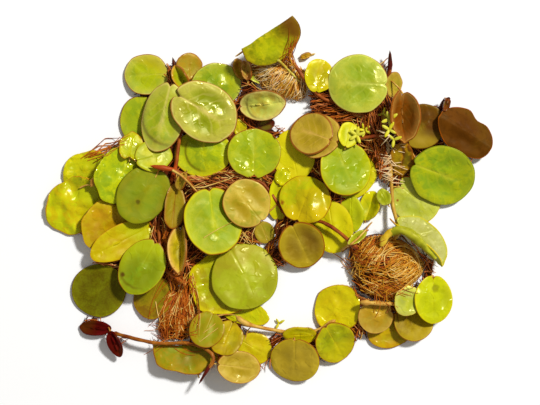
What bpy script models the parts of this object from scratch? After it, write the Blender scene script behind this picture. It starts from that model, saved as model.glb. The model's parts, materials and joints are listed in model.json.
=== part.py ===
"""Red root floater: one intergrown mat of the floating plant, lifted out of the water and laid down.

The mat is built upwards from the ground. Root tufts come first, then the lowest leaves, the runners over
them and the upper leaves. Each piece is let down onto the pile so far until it all but touches.
X runs across the mat, Y up it, and the middle of its base is the origin.
"""

import math
import random

import bmesh
import bpy
import numpy as np
from mathutils import Euler, Matrix, Vector, geometry

MM = 0.001

# Leaf blades
LEAF_THICKNESS = 0.5 * MM
MIDDLE_SWELL = 0.15 * MM
NOTCH_DEPTH = 0.24
NOTCH_DEPTH_INSIDE = 0.4 * NOTCH_DEPTH
LOBE_ANGLE = 9.0
FOLDED_LOBE_ANGLE = 17.0
STRONG_FOLD = 60.0
SHOULDER_ANGLE = 26.0
INNER_RING = 0.55
RIM_WAVES = 3
SHARPEST_CREASE = 1.5
SMALL_LEAF_SIDES = 16
LARGE_LEAF_SIDES = 20
LARGE_LEAF = 11.9 * MM
RIM_UNEVENNESS = 0.02
STEEPEST_REST = 0.30
REST_PRECISION = 0.004

# Runners
RUNNER_RADIUS = 0.55 * MM
RUNNER_STEP = 2.4 * MM
STEEPEST_RUNNER = 0.40
BUD_LENGTH = 6.0 * MM
BUD_WIDEST_AT = 0.35 * BUD_LENGTH
BUD_SWELL = 1.45
BUD_TIP = 0.3
CURVE_STEPS = 24
EASING_ROUNDS = 3

# Root tufts
TUFT_SIDES = 16
TUFT_RINGS = (0.4, 0.72, 0.92, 1.0)
TUFT_EDGE = 0.6 * MM
TUFT_LUMPS = ((3, 0.07), (5, 0.05))
TUFT_TOP_WAVE = 0.12

# The pile, a plan grid that holds the height reached so far
GAP = 0.34 * MM
CELL = 0.5 * MM
PILE_HALF = (75 * MM, 65 * MM)
SAMPLE_STEP = 0.4 * MM

GREEN = (0.23, 0.33, 0.045)
LIME = (0.42, 0.47, 0.05)
GOLD = (0.55, 0.38, 0.04)
OLIVE = (0.20, 0.20, 0.04)
TAN = (0.34, 0.26, 0.09)
BROWN = (0.16, 0.05, 0.02)
CRIMSON = (0.17, 0.012, 0.02)
RUNNER_TAN = (0.36, 0.20, 0.07)
ROOT_GOLD = (0.47, 0.24, 0.05)
ROOT_RED = (0.30, 0.09, 0.03)

LEAF_ROUGHNESS = 0.35
FIBRE_ROUGHNESS = 0.6

uneven = random.Random(5)
pile = np.full([round(2 * half / CELL) for half in PILE_HALF], -GAP)
placed_points = []


def clear_scene():
    for item in list(bpy.data.objects):
        bpy.data.objects.remove(item)


def dress(item, colour, roughness):
    """Gives the object a plain material of its own."""
    paint = bpy.data.materials.new(item.name)
    paint.use_nodes = True
    shader = paint.node_tree.nodes["Principled BSDF"]
    shader.inputs["Base Color"].default_value = (*colour, 1.0)
    shader.inputs["Roughness"].default_value = roughness
    item.data.materials.append(paint)
    bpy.context.scene.collection.objects.link(item)


def grid_cells(points):
    """Row and column of the pile's cell under each point."""
    rows = np.floor((points[:, 0] + PILE_HALF[0]) / CELL).astype(int)
    columns = np.floor((points[:, 1] + PILE_HALF[1]) / CELL).astype(int)
    return rows, columns


def pile_under(points):
    """Height of the pile under each point: the highest of its cell and the eight round it."""
    wide = pile.copy()
    for shift_x in (-1, 0, 1):
        for shift_y in (-1, 0, 1):
            wide = np.maximum(wide, np.roll(pile, (shift_x, shift_y), (0, 1)))
    return wide[grid_cells(points)]


def lift_clear(points):
    """How far up the points must go to clear the pile by the gap."""
    return (pile_under(points) + GAP - points[:, 2]).max()


def add_to_pile(points):
    rows, columns = grid_cells(points)
    np.maximum.at(pile, (rows, columns), points[:, 2])
    placed_points.append(points)


def surface_samples(mesh):
    """Points spread over all faces of a mesh, in its own frame."""
    mesh.calc_loop_triangles()
    corners = np.array([[mesh.vertices[i].co[:] for i in face.vertices] for face in mesh.loop_triangles])
    found = []
    for a, b, c in corners:
        longest = max(np.linalg.norm(b - a), np.linalg.norm(c - b), np.linalg.norm(a - c))
        count = max(2, math.ceil(longest / SAMPLE_STEP))
        steps = [(i / count, j / count) for i in range(count + 1) for j in range(count + 1 - i)]
        found.append(np.array([a + (b - a) * s + (c - a) * t for s, t in steps]))
    return np.concatenate(found)


def resting_slopes(samples, middle):
    """Slopes along X and Y at which a plate rests on the pile with its middle as low as it goes."""
    heights = pile_under(samples + middle) - samples[:, 2]

    def middle_height(slope_x, slope_y):
        return (heights - slope_x * samples[:, 0] - slope_y * samples[:, 1]).max()

    best = (0.0, 0.0)
    lowest = middle_height(*best)
    step = STEEPEST_REST / 2
    while step > REST_PRECISION:
        around = [(best[0] + i * step, best[1] + j * step) for i in (-1, 0, 1) for j in (-1, 0, 1)]
        around = [slopes for slopes in around if max(map(abs, slopes)) <= STEEPEST_REST]
        nearest = min(around, key=lambda slopes: middle_height(*slopes))
        if middle_height(*nearest) < lowest - 1e-7:
            best = nearest
            lowest = middle_height(*nearest)
        else:
            step /= 2
    return best


def turn_onto_slope(heading, slope_x, slope_y):
    """Turns a blade's +X to the heading in plan, and lays the blade on the sloping plane."""
    normal = Vector((-slope_x, -slope_y, 1.0)).normalized()
    along = Vector((math.cos(heading), math.sin(heading), 0.0))
    along = (along - normal * along.dot(normal)).normalized()
    across = normal.cross(along)
    return Matrix((along, across, normal)).transposed()


def disc_sheet(sides, rings, thickness):
    """A closed flat disc of rings of faces round its middle, of radius 1 and the given thickness."""
    bm = bmesh.new()
    bmesh.ops.create_circle(bm, cap_ends=True, cap_tris=True, segments=sides, radius=rings[0])
    for inner, outer in zip(rings, rings[1:]):
        border = [edge for edge in bm.edges if edge.is_boundary]
        grown = bmesh.ops.extrude_edge_only(bm, edges=border)["geom"]
        ring = [part for part in grown if isinstance(part, bmesh.types.BMVert)]
        bmesh.ops.scale(bm, vec=(outer / inner, outer / inner, 1.0), verts=ring)
    bmesh.ops.recalc_face_normals(bm, faces=bm.faces[:])
    if sum(face.normal.z for face in bm.faces) < 0:
        bmesh.ops.reverse_faces(bm, faces=bm.faces[:])
    lower = bmesh.ops.extrude_face_region(bm, geom=bm.faces[:], use_keep_orig=True)["geom"]
    lower_verts = [part for part in lower if isinstance(part, bmesh.types.BMVert)]
    bmesh.ops.translate(bm, vec=(0.0, 0.0, -thickness), verts=lower_verts)
    bmesh.ops.recalc_face_normals(bm, faces=bm.faces[:])
    return bm


def leaf_mesh(name, length, width, cup, ruffle, folds, shares, notch):
    """A blade with its middle at the origin, its notch at -X and its tip at +X.

    The inner part is flat but for a slight swell on top. The rim rises by cup and waves by ruffle. folds
    holds the angles, in radians upwards, by which the left half (+Y) and the right half are turned about
    the midrib, and shares how wide each half is for a blade of this width.
    """
    sides = LARGE_LEAF_SIDES if max(length, width) > LARGE_LEAF else SMALL_LEAF_SIDES
    bm = disc_sheet(sides, (INNER_RING, 1.0), LEAF_THICKNESS)
    step = 360.0 / sides
    wave_phase = uneven.uniform(0.0, math.tau)
    left, right = folds
    lobe_angle = FOLDED_LOBE_ANGLE if abs(math.degrees(left + right)) > STRONG_FOLD else LOBE_ANGLE
    crease = Vector((math.sin(right) - math.sin(left), math.cos(right) + math.cos(left))) / 2
    inner_crease = crease / crease.length_squared
    outer_crease = crease.normalized() * min(1 / crease.length, SHARPEST_CREASE)
    unevenness = {}
    for vert in bm.verts:
        reach = math.hypot(vert.co.x, vert.co.y)
        from_notch = abs(math.degrees(math.atan2(vert.co.y, -vert.co.x)))
        angle = np.interp(from_notch, (0, step, 2 * step, 180), (0, lobe_angle, SHOULDER_ANGLE, 180))
        angle = math.radians(angle) * (-1 if vert.co.y < 0 else 1)
        above = vert.co.z + LEAF_THICKNESS / 2
        on_rim = reach > (1 + INNER_RING) / 2
        if reach < INNER_RING / 2 and above > 0:
            above += MIDDLE_SWELL
        place = round(math.degrees(angle), 3)
        if on_rim:
            reach *= unevenness.setdefault(place, 1 + uneven.uniform(-RIM_UNEVENNESS, RIM_UNEVENNESS))
            above += cup + ruffle * math.sin(RIM_WAVES * angle + wave_phase)
        if from_notch < step / 2:
            reach *= 1 - (notch if on_rim else NOTCH_DEPTH_INSIDE)
        along = -math.cos(angle) * reach * length / 2
        across = math.sin(angle) * reach * width / 2
        across *= shares[0] if across > 0 else shares[1]
        if reach < 0.01 or abs(across) < 0.01 * MM:
            crease = inner_crease if above * (left + right) > 0 else outer_crease
            vert.co = (along, crease.x * above, crease.y * above)
        elif across > 0:
            vert.co = (along, across * math.cos(left) - above * math.sin(left),
                       across * math.sin(left) + above * math.cos(left))
        else:
            vert.co = (along, across * math.cos(right) + above * math.sin(right),
                       -across * math.sin(right) + above * math.cos(right))
    mesh = bpy.data.meshes.new(name)
    bm.to_mesh(mesh)
    bm.free()
    return mesh


def leaf(name, middle, size, heading, colour, cup=0.4, ruffle=0.15, folds=(0, 0), shares=(1, 1),
         notch=NOTCH_DEPTH, slopes=None):
    """Lays one leaf on the pile. Sizes are in millimetres and angles in degrees.

    slopes fixes how steeply the blade stands along X and Y. Without it the leaf finds its own rest.
    """
    folds = [math.radians(angle) for angle in folds]
    length, width = (extent * MM for extent in size)
    mesh = leaf_mesh(name, length, width, cup * MM, ruffle * MM, folds, shares, notch)
    samples = surface_samples(mesh)
    spot = np.array((middle[0] * MM, middle[1] * MM, 0.0))
    heading = math.radians(heading)
    if slopes is None:
        flat_turn = np.array(turn_onto_slope(heading, 0.0, 0.0))
        slopes = resting_slopes(samples @ flat_turn.T, spot)
    turn = turn_onto_slope(heading, *slopes)
    laid = samples @ np.array(turn).T + spot
    rise = lift_clear(laid)
    add_to_pile(laid + (0.0, 0.0, rise))
    item = bpy.data.objects.new(name, mesh)
    item.rotation_euler = turn.to_euler()
    item.location = (spot[0], spot[1], rise)
    dress(item, colour, LEAF_ROUGHNESS)


def smooth_route(stops, step):
    """Points at even steps along a smooth curve through the stops, in plan."""
    stops = [Vector(stop) * MM for stop in stops]
    ends = [stops[0] * 2 - stops[1], *stops, stops[-1] * 2 - stops[-2]]
    fine = []
    for before, start, end, after in zip(ends, ends[1:], ends[2:], ends[3:]):
        leaving = (end - before) / 3
        arriving = (after - start) / 3
        bends = geometry.interpolate_bezier(start, start + leaving / 2, end - arriving / 2, end, CURVE_STEPS)
        fine += [point[:2] for point in bends[:-1]]
    fine = np.array([*fine, stops[-1]])
    travelled = np.concatenate(([0.0], np.cumsum(np.linalg.norm(np.diff(fine, axis=0), axis=1))))
    count = max(2, round(travelled[-1] / step)) + 1
    marks = np.linspace(0.0, travelled[-1], count)
    return np.stack([np.interp(marks, travelled, fine[:, i]) for i in (0, 1)], axis=1), marks


def runner(name, stops, colour=RUNNER_TAN, bud_rise=0.0, end_bud=False):
    """Drapes a runner over the pile, through stops in millimetres.

    Its first end is a furled bud that rises by bud_rise, and with end_bud its last end is one too.
    """
    route, marks = smooth_route(stops, RUNNER_STEP)
    dense, dense_marks = smooth_route(stops, CELL)
    needed = np.full(len(dense), -np.inf)
    radius = RUNNER_RADIUS * BUD_SWELL
    for offset_x in (-radius, 0.0, radius):
        for offset_y in (-radius, 0.0, radius):
            beside = np.column_stack((dense + (offset_x, offset_y), np.zeros(len(dense))))
            needed = np.maximum(needed, pile_under(beside) + GAP + radius)
    apart = np.abs(dense_marks[:, None] - dense_marks[None, :])
    tent = (needed[None, :] - STEEPEST_RUNNER * apart).max(axis=1)
    heights = np.array([tent[np.abs(dense_marks - mark) <= RUNNER_STEP * 1.1].max() for mark in marks])
    for _ in range(EASING_ROUNDS):
        eased = heights.copy()
        eased[1:-1] = (heights[:-2] + heights[1:-1] * 2 + heights[2:]) / 4
        heights = np.maximum(heights, eased)
    heights += bud_rise * MM * np.clip(1 - marks / (2 * BUD_LENGTH), 0, 1) ** 2

    cord = bpy.data.curves.new(name, "CURVE")
    cord.dimensions = "3D"
    cord.bevel_depth = RUNNER_RADIUS
    cord.bevel_resolution = 1
    cord.use_fill_caps = True
    spline = cord.splines.new("POLY")
    spline.points.add(len(route) - 1)
    start = Vector((*route[0], heights[0]))
    for point, place, height, mark in zip(spline.points, route, heights, marks):
        point.co = (*(Vector((*place, height)) - start), 1.0)
        from_tips = [mark] + ([marks[-1] - mark] if end_bud else [])
        point.radius = min(np.interp(gone, (0.0, BUD_WIDEST_AT, BUD_LENGTH), (BUD_TIP, BUD_SWELL, 1.0))
                           for gone in from_tips)
    item = bpy.data.objects.new(name, cord)
    item.location = start
    dress(item, colour, FIBRE_ROUGHNESS)
    tube = item.to_mesh()
    add_to_pile(surface_samples(tube) + np.array(start))
    item.to_mesh_clear()


def root_tuft(name, middle, size, heading, height, colour, fan=0.0):
    """A flattened mass of matted roots on the ground, wider at its far end by the share fan."""
    bm = disc_sheet(TUFT_SIDES, TUFT_RINGS, TUFT_EDGE)
    for vert in bm.verts:
        reach = math.hypot(vert.co.x, vert.co.y)
        angle = math.atan2(vert.co.y, vert.co.x)
        lump = 1 + sum(rise * math.sin(count * angle + size[0]) for count, rise in TUFT_LUMPS)
        dome = math.sqrt(max(0.0, 1 - reach**2)) * (1 + TUFT_TOP_WAVE * math.sin(2 * angle + 4 * reach))
        top = max(TUFT_EDGE, height * MM * dome)
        across = vert.co.y * (1 + fan * vert.co.x)
        vert.co = (vert.co.x * lump * size[0] * MM / 2, across * lump * size[1] * MM / 2,
                   top if vert.co.z > -TUFT_EDGE / 2 else 0.0)
    mesh = bpy.data.meshes.new(name)
    bm.to_mesh(mesh)
    bm.free()
    item = bpy.data.objects.new(name, mesh)
    item.rotation_euler = Euler((0.0, 0.0, math.radians(heading)))
    item.location = (middle[0] * MM, middle[1] * MM, 0.0)
    turn = np.array(item.rotation_euler.to_matrix())
    add_to_pile(surface_samples(mesh) @ turn.T + np.array(item.location))
    dress(item, colour, FIBRE_ROUGHNESS)


def lay_roots():
    root_tuft("root_ball_right", (28.4, -16.6), (19.0, 17.0), -15, 5.0, ROOT_GOLD)
    root_tuft("root_tuft_left", (-22.4, -27.8), (16.5, 9.0), 252, 2.4, ROOT_GOLD, fan=0.25)
    root_tuft("root_tuft_top", (2.6, 30.6), (17.0, 10.0), -24, 3.2, ROOT_RED)


def lay_lowest_leaves():
    leaf("leaf_far_left_1", (-45.8, 7.2), (12.8, 9.6), 195, LIME, cup=0.5, ruffle=0.35)
    leaf("leaf_far_left_2", (-49.2, -1.4), (15.0, 12.6), 245, GOLD, cup=0.5, ruffle=0.5)
    leaf("leaf_far_left_3", (-41.2, -6.2), (13.0, 11.0), 240, GOLD, cup=0.3)
    leaf("leaf_low_left_1", (-42.7, -22.5), (13.6, 13.2), 215, OLIVE, cup=0.3)
    leaf("leaf_top_left_1", (-32.0, 19.4), (13.2, 10.6), 100, GREEN, cup=0.3)
    leaf("leaf_top_left_2", (-16.7, 11.8), (12.0, 14.6), 278, LIME, cup=0.5)
    leaf("leaf_middle_low_1", (-12.0, -20.6), (16.4, 16.2), 268, LIME, cup=0.2, ruffle=0.4)
    leaf("leaf_bottom_left_1", (-20.8, -36.8), (17.5, 12.8), 175, OLIVE, cup=0.2, folds=(0, -146))
    leaf("leaf_bottom_1", (-3.8, -37.0), (8.5, 8.0), -30, LIME, cup=0.3)
    leaf("leaf_bottom_2", (16.8, -27.0), (11.8, 11.2), 60, LIME, cup=0.5, ruffle=0.35)
    leaf("leaf_centre_1", (5.8, 11.2), (12.5, 11.0), 100, LIME, cup=0.3)
    leaf("leaf_centre_2", (15.6, -6.8), (13.2, 10.4), 280, LIME, cup=0.3)
    leaf("leaf_right_1", (36.5, 0.2), (12.5, 12.0), 320, LIME, cup=0.4)
    leaf("leaf_low_right_1", (30.0, -32.6), (11.6, 8.6), 196, GOLD, cup=0.3, ruffle=0.3)
    leaf("leaf_low_right_2", (35.8, -29.9), (10.8, 10.0), 250, OLIVE, cup=0.4)
    leaf("leaf_low_right_3", (26.2, -28.9), (8.6, 8.2), 200, TAN, cup=0.4)


def lay_outer_runners():
    runner("runner_left", [(-24.2, 35.5), (-23.0, 31.2), (-20.5, 27.0), (-21.2, 21.0), (-22.6, 14.5),
                           (-23.4, 8.5), (-25.4, 2.0), (-27.6, -5.0), (-27.4, -11.5), (-26.0, -17.0),
                           (-21.0, -20.5)], CRIMSON, bud_rise=1.5)
    runner("runner_far_left", [(-26.6, 10.4), (-31.5, 12.2), (-37.0, 11.0), (-41.5, 8.0), (-44.0, 3.5)])
    runner("runner_low_left", [(-39.6, -33.0), (-34.0, -34.2), (-27.5, -35.4), (-19.0, -35.6), (-14.0, -38.4),
                               (-15.6, -42.0), (-17.6, -45.4)], end_bud=True)
    runner("runner_bottom", [(-8.5, -28.5), (-5.8, -30.6), (-1.5, -31.8), (5.0, -33.0), (11.5, -32.4),
                             (16.0, -30.0)])
    runner("runner_low_right", [(40.5, -18.6), (38.6, -22.2), (34.0, -25.0), (28.5, -25.6), (22.5, -25.2)])
    runner("runner_right", [(28.4, 23.0), (28.6, 17.0), (30.0, 10.8), (30.0, 6.4), (30.6, -2.4),
                            (31.6, -6.4), (31.0, -9.4)])
    runner("runner_upper_right", [(43.2, 25.4), (41.8, 21.6), (38.4, 17.4), (34.0, 14.6), (27.6, 15.8),
                                  (21.0, 15.2), (15.2, 14.2)], CRIMSON, bud_rise=2.0)
    runner("runner_top", [(29.6, 37.2), (29.8, 33.0), (28.2, 28.6), (22.0, 24.4), (13.6, 25.0), (8.4, 30.0),
                          (4.6, 34.6), (-2.0, 34.6)], CRIMSON, bud_rise=2.5)


def lay_upper_left():
    leaf("leaf_top_left_3", (-30.8, 31.2), (11.0, 10.5), 182, LIME, folds=(6, 6))
    leaf("leaf_top_left_4", (-26.4, 20.4), (17.4, 10.8), 257, LIME, folds=(0, -25))
    leaf("leaf_top_left_5", (-13.6, 28.4), (13.0, 11.2), 22, GREEN)
    leaf("leaf_far_left_4", (-37.0, -10.2), (17.0, 8.4), 207, GOLD, folds=(8, 12))
    leaf("leaf_far_left_5", (-36.6, 6.2), (13.6, 12.6), 248, LIME, cup=0.3, ruffle=0.35)
    leaf("leaf_low_left_2", (-31.6, -16.6), (14.6, 11.0), 242, GREEN, cup=0.5)
    leaf("leaf_left_1", (-31.4, 1.4), (15.4, 12.4), 234, GREEN, cup=0.3)
    runner("runner_middle", [(-29.6, 8.4), (-26.0, 7.8), (-22.6, 7.0), (-20.0, 4.6), (-18.0, 1.8),
                             (-12.6, 1.6), (-7.0, 4.4), (-2.6, 4.6), (1.0, 0.6), (4.0, -3.6), (7.6, -5.2),
                             (12.6, -5.4), (17.6, -8.4), (21.4, -12.0)], CRIMSON)
    leaf("leaf_top_left_6", (-16.2, 21.8), (17.6, 14.6), -30, GREEN, cup=-0.3, ruffle=0.3, folds=(4, 4))
    leaf("leaf_middle_low_3", (-22.0, -12.4), (12.8, 8.4), 274, GOLD, folds=(48, 52))
    leaf("leaf_middle_low_2", (-6.2, -19.0), (16.6, 17.0), -62, GREEN, cup=-0.3, ruffle=0.25)
    leaf("leaf_left_2", (-14.0, -5.2), (17.0, 15.0), 276, LIME, cup=0.3)
    leaf("leaf_centre_3", (-4.0, 11.6), (12.4, 13.6), 90, LIME, cup=0.3, folds=(5, 5))
    leaf("leaf_centre_4", (-5.8, -0.8), (12.2, 11.8), 130, TAN, cup=0.4)


def lay_upper_right():
    leaf("leaf_centre_5", (8.8, 0.0), (12.2, 13.2), 70, LIME, cup=0.2, folds=(4, 4))
    leaf("leaf_centre_6", (7.8, -11.0), (12.0, 11.6), -66, OLIVE, cup=0.3, folds=(7, 7))
    leaf("leaf_centre_7", (18.6, 7.8), (13.6, 13.4), -66, GREEN, cup=0.3)
    leaf("leaf_centre_8", (10.4, 16.4), (11.0, 10.8), 156, TAN, cup=0.3)
    leaf("leaf_top_1", (-1.8, 23.8), (11.6, 8.4), 8, GREEN, cup=0.6, folds=(14, 22))
    leaf("leaf_top_2", (-0.4, 40.4), (17.2, 14.2), 34, OLIVE, folds=(-128, 0), shares=(0.7, 1), notch=0.1,
         slopes=(-0.22, 0.34))
    leaf("leaf_top_3", (21.8, 28.8), (15.2, 15.0), 178, GREEN, cup=-0.3, ruffle=0.2)
    leaf("leaf_right_2", (37.8, 18.2), (11.5, 10.5), 48, OLIVE, cup=0.3)
    leaf("leaf_right_3", (32.4, 20.4), (13.0, 10.4), 272, BROWN, cup=1.0, folds=(34, 38))
    leaf("leaf_right_4", (48.4, 16.9), (15.4, 11.0), -30, BROWN, folds=(-20, -14), notch=0.1)
    leaf("leaf_right_5", (42.7, 6.3), (16.2, 15.0), -22, GREEN, cup=0.3, folds=(3, 3))
    leaf("leaf_right_6", (35.9, -11.4), (16.8, 14.2), -38, OLIVE, cup=0.4, folds=(0, 105), shares=(1, 0.4),
         slopes=(-0.30, -0.22))


def lay_upper_bottom():
    leaf("leaf_bottom_left_2", (-15.6, -32.0), (9.0, 8.6), 250, OLIVE, cup=0.3)
    leaf("leaf_bottom_left_3", (-7.8, -41.2), (11.0, 8.0), -14, TAN, folds=(-14, 20))
    leaf("red_leaf_1", (-43.4, -32.0), (8.2, 3.9), 176, CRIMSON, folds=(14, 14), notch=0.1)
    leaf("red_leaf_2", (-38.2, -35.6), (6.8, 3.9), 288, CRIMSON, folds=(20, 20), notch=0.1)
    leaf("leaf_low_right_4", (40.2, -24.6), (11.8, 10.2), 270, LIME, cup=0.3, folds=(5, 5))
    leaf("leaf_bottom_3", (16.0, -35.2), (10.6, 10.2), -58, GREEN, cup=0.3, folds=(6, 6))
    leaf("leaf_bottom_4", (6.2, -39.6), (11.4, 12.6), 266, TAN, cup=0.3)


def centre_over_origin():
    """Shifts everything in plan so that the middle of the mat's box is over the origin."""
    everything = np.concatenate(placed_points)
    middle = (everything.min(axis=0) + everything.max(axis=0)) / 2
    for item in bpy.data.objects:
        item.location.x -= middle[0]
        item.location.y -= middle[1]


clear_scene()
lay_roots()
lay_lowest_leaves()
lay_outer_runners()
lay_upper_left()
lay_upper_right()
lay_upper_bottom()
centre_over_origin()
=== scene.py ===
"""Looks of the red root floater: one intergrown mat of the floating plant, lifted out and laid down.

The mat is dressed piece by piece, roughly from the ground up: root tufts, leaf blades, small leaves, sprigs,
runners, leaf stalks, and the fine roots under and over them. Lengths are in metres, and places given in
millimetres are named so.
"""

import json
import math
import random

import bmesh
import bpy
import numpy as np
from mathutils import Matrix, Vector, noise
from mathutils.bvhtree import BVHTree


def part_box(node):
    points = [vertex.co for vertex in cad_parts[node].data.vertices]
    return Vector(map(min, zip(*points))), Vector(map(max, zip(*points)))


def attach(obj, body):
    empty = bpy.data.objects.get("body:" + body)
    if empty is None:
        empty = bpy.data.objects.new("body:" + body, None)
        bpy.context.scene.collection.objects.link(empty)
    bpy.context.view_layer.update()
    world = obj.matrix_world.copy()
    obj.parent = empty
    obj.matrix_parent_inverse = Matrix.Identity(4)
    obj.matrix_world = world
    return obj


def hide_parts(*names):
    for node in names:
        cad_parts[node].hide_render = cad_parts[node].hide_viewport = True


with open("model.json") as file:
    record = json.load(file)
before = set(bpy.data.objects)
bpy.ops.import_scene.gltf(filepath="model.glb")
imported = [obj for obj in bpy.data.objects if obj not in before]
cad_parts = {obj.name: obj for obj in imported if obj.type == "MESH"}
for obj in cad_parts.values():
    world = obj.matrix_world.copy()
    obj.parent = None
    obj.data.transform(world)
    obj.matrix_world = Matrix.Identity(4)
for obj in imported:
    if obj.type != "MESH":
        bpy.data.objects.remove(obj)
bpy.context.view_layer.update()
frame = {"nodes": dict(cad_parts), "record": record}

# Root tufts and root ball
# Each is a matted mass of fine, unbranched water roots, golden to red-brown, that grow out of a runner's
# joints. A lumpy felt of roots fills the mass, and single strands are combed and coiled over it. The felt of
# the ball and the left tuft is dark, partly as painted shade between the strands; the deeper strands take
# darker paints, partly as painted shade; and the ball's left side, away from the key light, is painted
# darker.
MM = 0.001
DOWN = Vector((0.0, 0.0, -1.0))
DROP_FROM = 0.05
TUFT_DROP_FROM = 0.1
STRAND_POINTS = 12
STRAND_RADIUS = 0.10 * MM
STRAND_GIRTHS = (0.7, 1.35)
STRAND_TAPER = 0.55
STRAND_STRAY = 0.22
STRAND_WANDER = 0.09
STRAND_SWAY = 0.16 * MM
SWAY_PITCH = 1.1
LOOSE_RISE = (-0.55 * MM, 0.25 * MM)
FELT_ROUNDING = 0.6
FELT_SHRINK = 0.75 * MM
FELT_LUMP = 0.45 * MM
FELT_LUMP_SCALE = 900.0
ROOT_SHINE = 0.35
ROOT_TINT = (1.0, 0.80, 0.45, 1.0)
ROOT_PATCH_SCALE = 450.0
ROOT_PATCHES = (0.35, 0.65)
ROOT_ROUGHNESS = (0.35, 0.6)
ROOT_DARK = (0.13, 0.018, 0.002)
ROOT_RUST = (0.42, 0.080, 0.004)
ROOT_RED_ORANGE = (0.52, 0.125, 0.006)
ROOT_ORANGE = (0.58, 0.19, 0.008)
ROOT_GOLD = (0.66, 0.33, 0.018)
ROOT_CREAM = (0.88, 0.62, 0.20)
ROOT_PINK = (0.66, 0.24, 0.07)
ROOT_PALE = (0.94, 0.80, 0.50)

chance = random.Random(11)
pieces = []


def gathered(meshes):
    """One bmesh of all the meshes."""
    bm = bmesh.new()
    for mesh in meshes:
        bm.from_mesh(mesh)
    return bm


def merged_copy(node):
    """A bmesh of the node's solid with its loose triangles joined."""
    bm = gathered([frame["nodes"][node].data])
    bmesh.ops.remove_doubles(bm, verts=bm.verts[:], dist=1e-6)
    return bm


def finished(bm, name):
    """The bmesh as a mesh with smooth shading."""
    for face in bm.faces:
        face.smooth = True
    mesh = bpy.data.meshes.new(name)
    bm.to_mesh(mesh)
    bm.free()
    return mesh


def surface_of(bm):
    """A surface to measure heights on, from a bmesh that isn't needed any more."""
    surface = BVHTree.FromBMesh(bm)
    bm.free()
    return surface


def height_on(surface, x, y, start=DROP_FROM):
    """Height of a surface at a point in plan, or None beside it."""
    hit = surface.ray_cast(Vector((x, y, start)), DOWN)[0]
    return hit.z if hit else None


def new_piece(name, mesh, paints, node=None):
    """Puts a finished mesh into the scene as a piece that rides with the mat."""
    for paint in paints:
        mesh.materials.append(paint)
    piece = bpy.data.objects.new(name, mesh)
    bpy.context.scene.collection.objects.link(piece)
    pieces.append(piece)
    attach(piece, "root")
    if node:
        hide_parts(node)
    return piece


def new_paint(name, values):
    """A new material and its shader, with the constant values set on the shader's own sockets."""
    paint = bpy.data.materials.new(name)
    paint.use_nodes = True
    shader = paint.node_tree.nodes["Principled BSDF"]
    for title, value in values.items():
        shader.inputs[title].default_value = value
    return paint, shader


def put(source, slot):
    """Feeds a shader socket from another socket or a value."""
    if isinstance(source, bpy.types.NodeSocket):
        slot.id_data.links.new(source, slot)
    else:
        slot.default_value = source


def shaded(tree, kind, sources, output, **settings):
    """One output of a new shader node. sources are pairs of an input and what feeds it."""
    node = tree.nodes.new("ShaderNode" + kind)
    for setting, value in settings.items():
        setattr(node, setting, value)
    for title, source in sources:
        put(source, node.inputs[title])
    return node.outputs[output]


def root_paint(name, colour, shade):
    """Root fibre: wet, slightly glossy, darker in patches along its length."""
    paint, shader = new_paint(name, {"Specular IOR Level": ROOT_SHINE, "Specular Tint": ROOT_TINT})
    tree = paint.node_tree
    place = shaded(tree, "TexCoord", (), "Object")
    patches = shaded(tree, "TexNoise",
                     (("Vector", place), ("Scale", ROOT_PATCH_SCALE), ("Detail", 3.0)), "Fac")
    band = (("Value", patches), ("From Min", ROOT_PATCHES[0]), ("From Max", ROOT_PATCHES[1]))
    share = shaded(tree, "MapRange", band, "Result")
    tones = (("Factor", share), ("A", (*colour, 1.0)), ("B", (*shade, 1.0)))
    put(shaded(tree, "Mix", tones, "Result", data_type="RGBA"), shader.inputs["Base Color"])
    band = (("Value", patches), ("To Min", ROOT_ROUGHNESS[0]), ("To Max", ROOT_ROUGHNESS[1]))
    put(shaded(tree, "MapRange", band, "Result"), shader.inputs["Roughness"])
    return paint


dark_roots = root_paint("roots_dark", ROOT_DARK, (0.05, 0.008, 0.002))
rust_roots = root_paint("roots_rust", ROOT_RUST, ROOT_DARK)
red_orange_roots = root_paint("roots_red_orange", ROOT_RED_ORANGE, ROOT_RUST)
orange_roots = root_paint("roots_orange", ROOT_ORANGE, ROOT_RUST)
gold_roots = root_paint("roots_gold", ROOT_GOLD, ROOT_ORANGE)
cream_roots = root_paint("roots_cream", ROOT_CREAM, ROOT_GOLD)
pink_roots = root_paint("roots_pink", ROOT_PINK, ROOT_RUST)
pale_roots = root_paint("roots_pale", ROOT_PALE, (0.82, 0.52, 0.22))


def round_curve(name, sides):
    """An empty curve with a round section. Its points carry the radius."""
    curve = bpy.data.curves.new(name, "CURVE")
    curve.dimensions = "3D"
    curve.bevel_depth = 1.0
    curve.bevel_resolution = sides
    curve.use_fill_caps = True
    return curve


def mesh_of(curve):
    """The curve's mesh. The curve itself is taken away."""
    holder = bpy.data.objects.new(curve.name, curve)
    mesh = bpy.data.meshes.new_from_object(holder)
    bpy.data.objects.remove(holder)
    bpy.data.curves.remove(curve)
    return mesh


def strand_piece(name, strands, paints):
    """A piece of tapering round strands. Each strand is (points, radius, number of its paint)."""
    curve = round_curve(name, 0)
    for paint in paints:
        curve.materials.append(paint)
    for points, radius, paint in strands:
        spline = curve.splines.new("POLY")
        spline.points.add(len(points) - 1)
        spline.points.foreach_set("co", np.column_stack((points, np.ones(len(points)))).ravel())
        along = np.linspace(0.0, 1.0, len(points))
        spline.points.foreach_set("radius", radius * (1.0 - STRAND_TAPER * along**3))
        spline.material_index = paint
        spline.use_smooth = True
    new_piece(name, mesh_of(curve), [])


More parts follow.
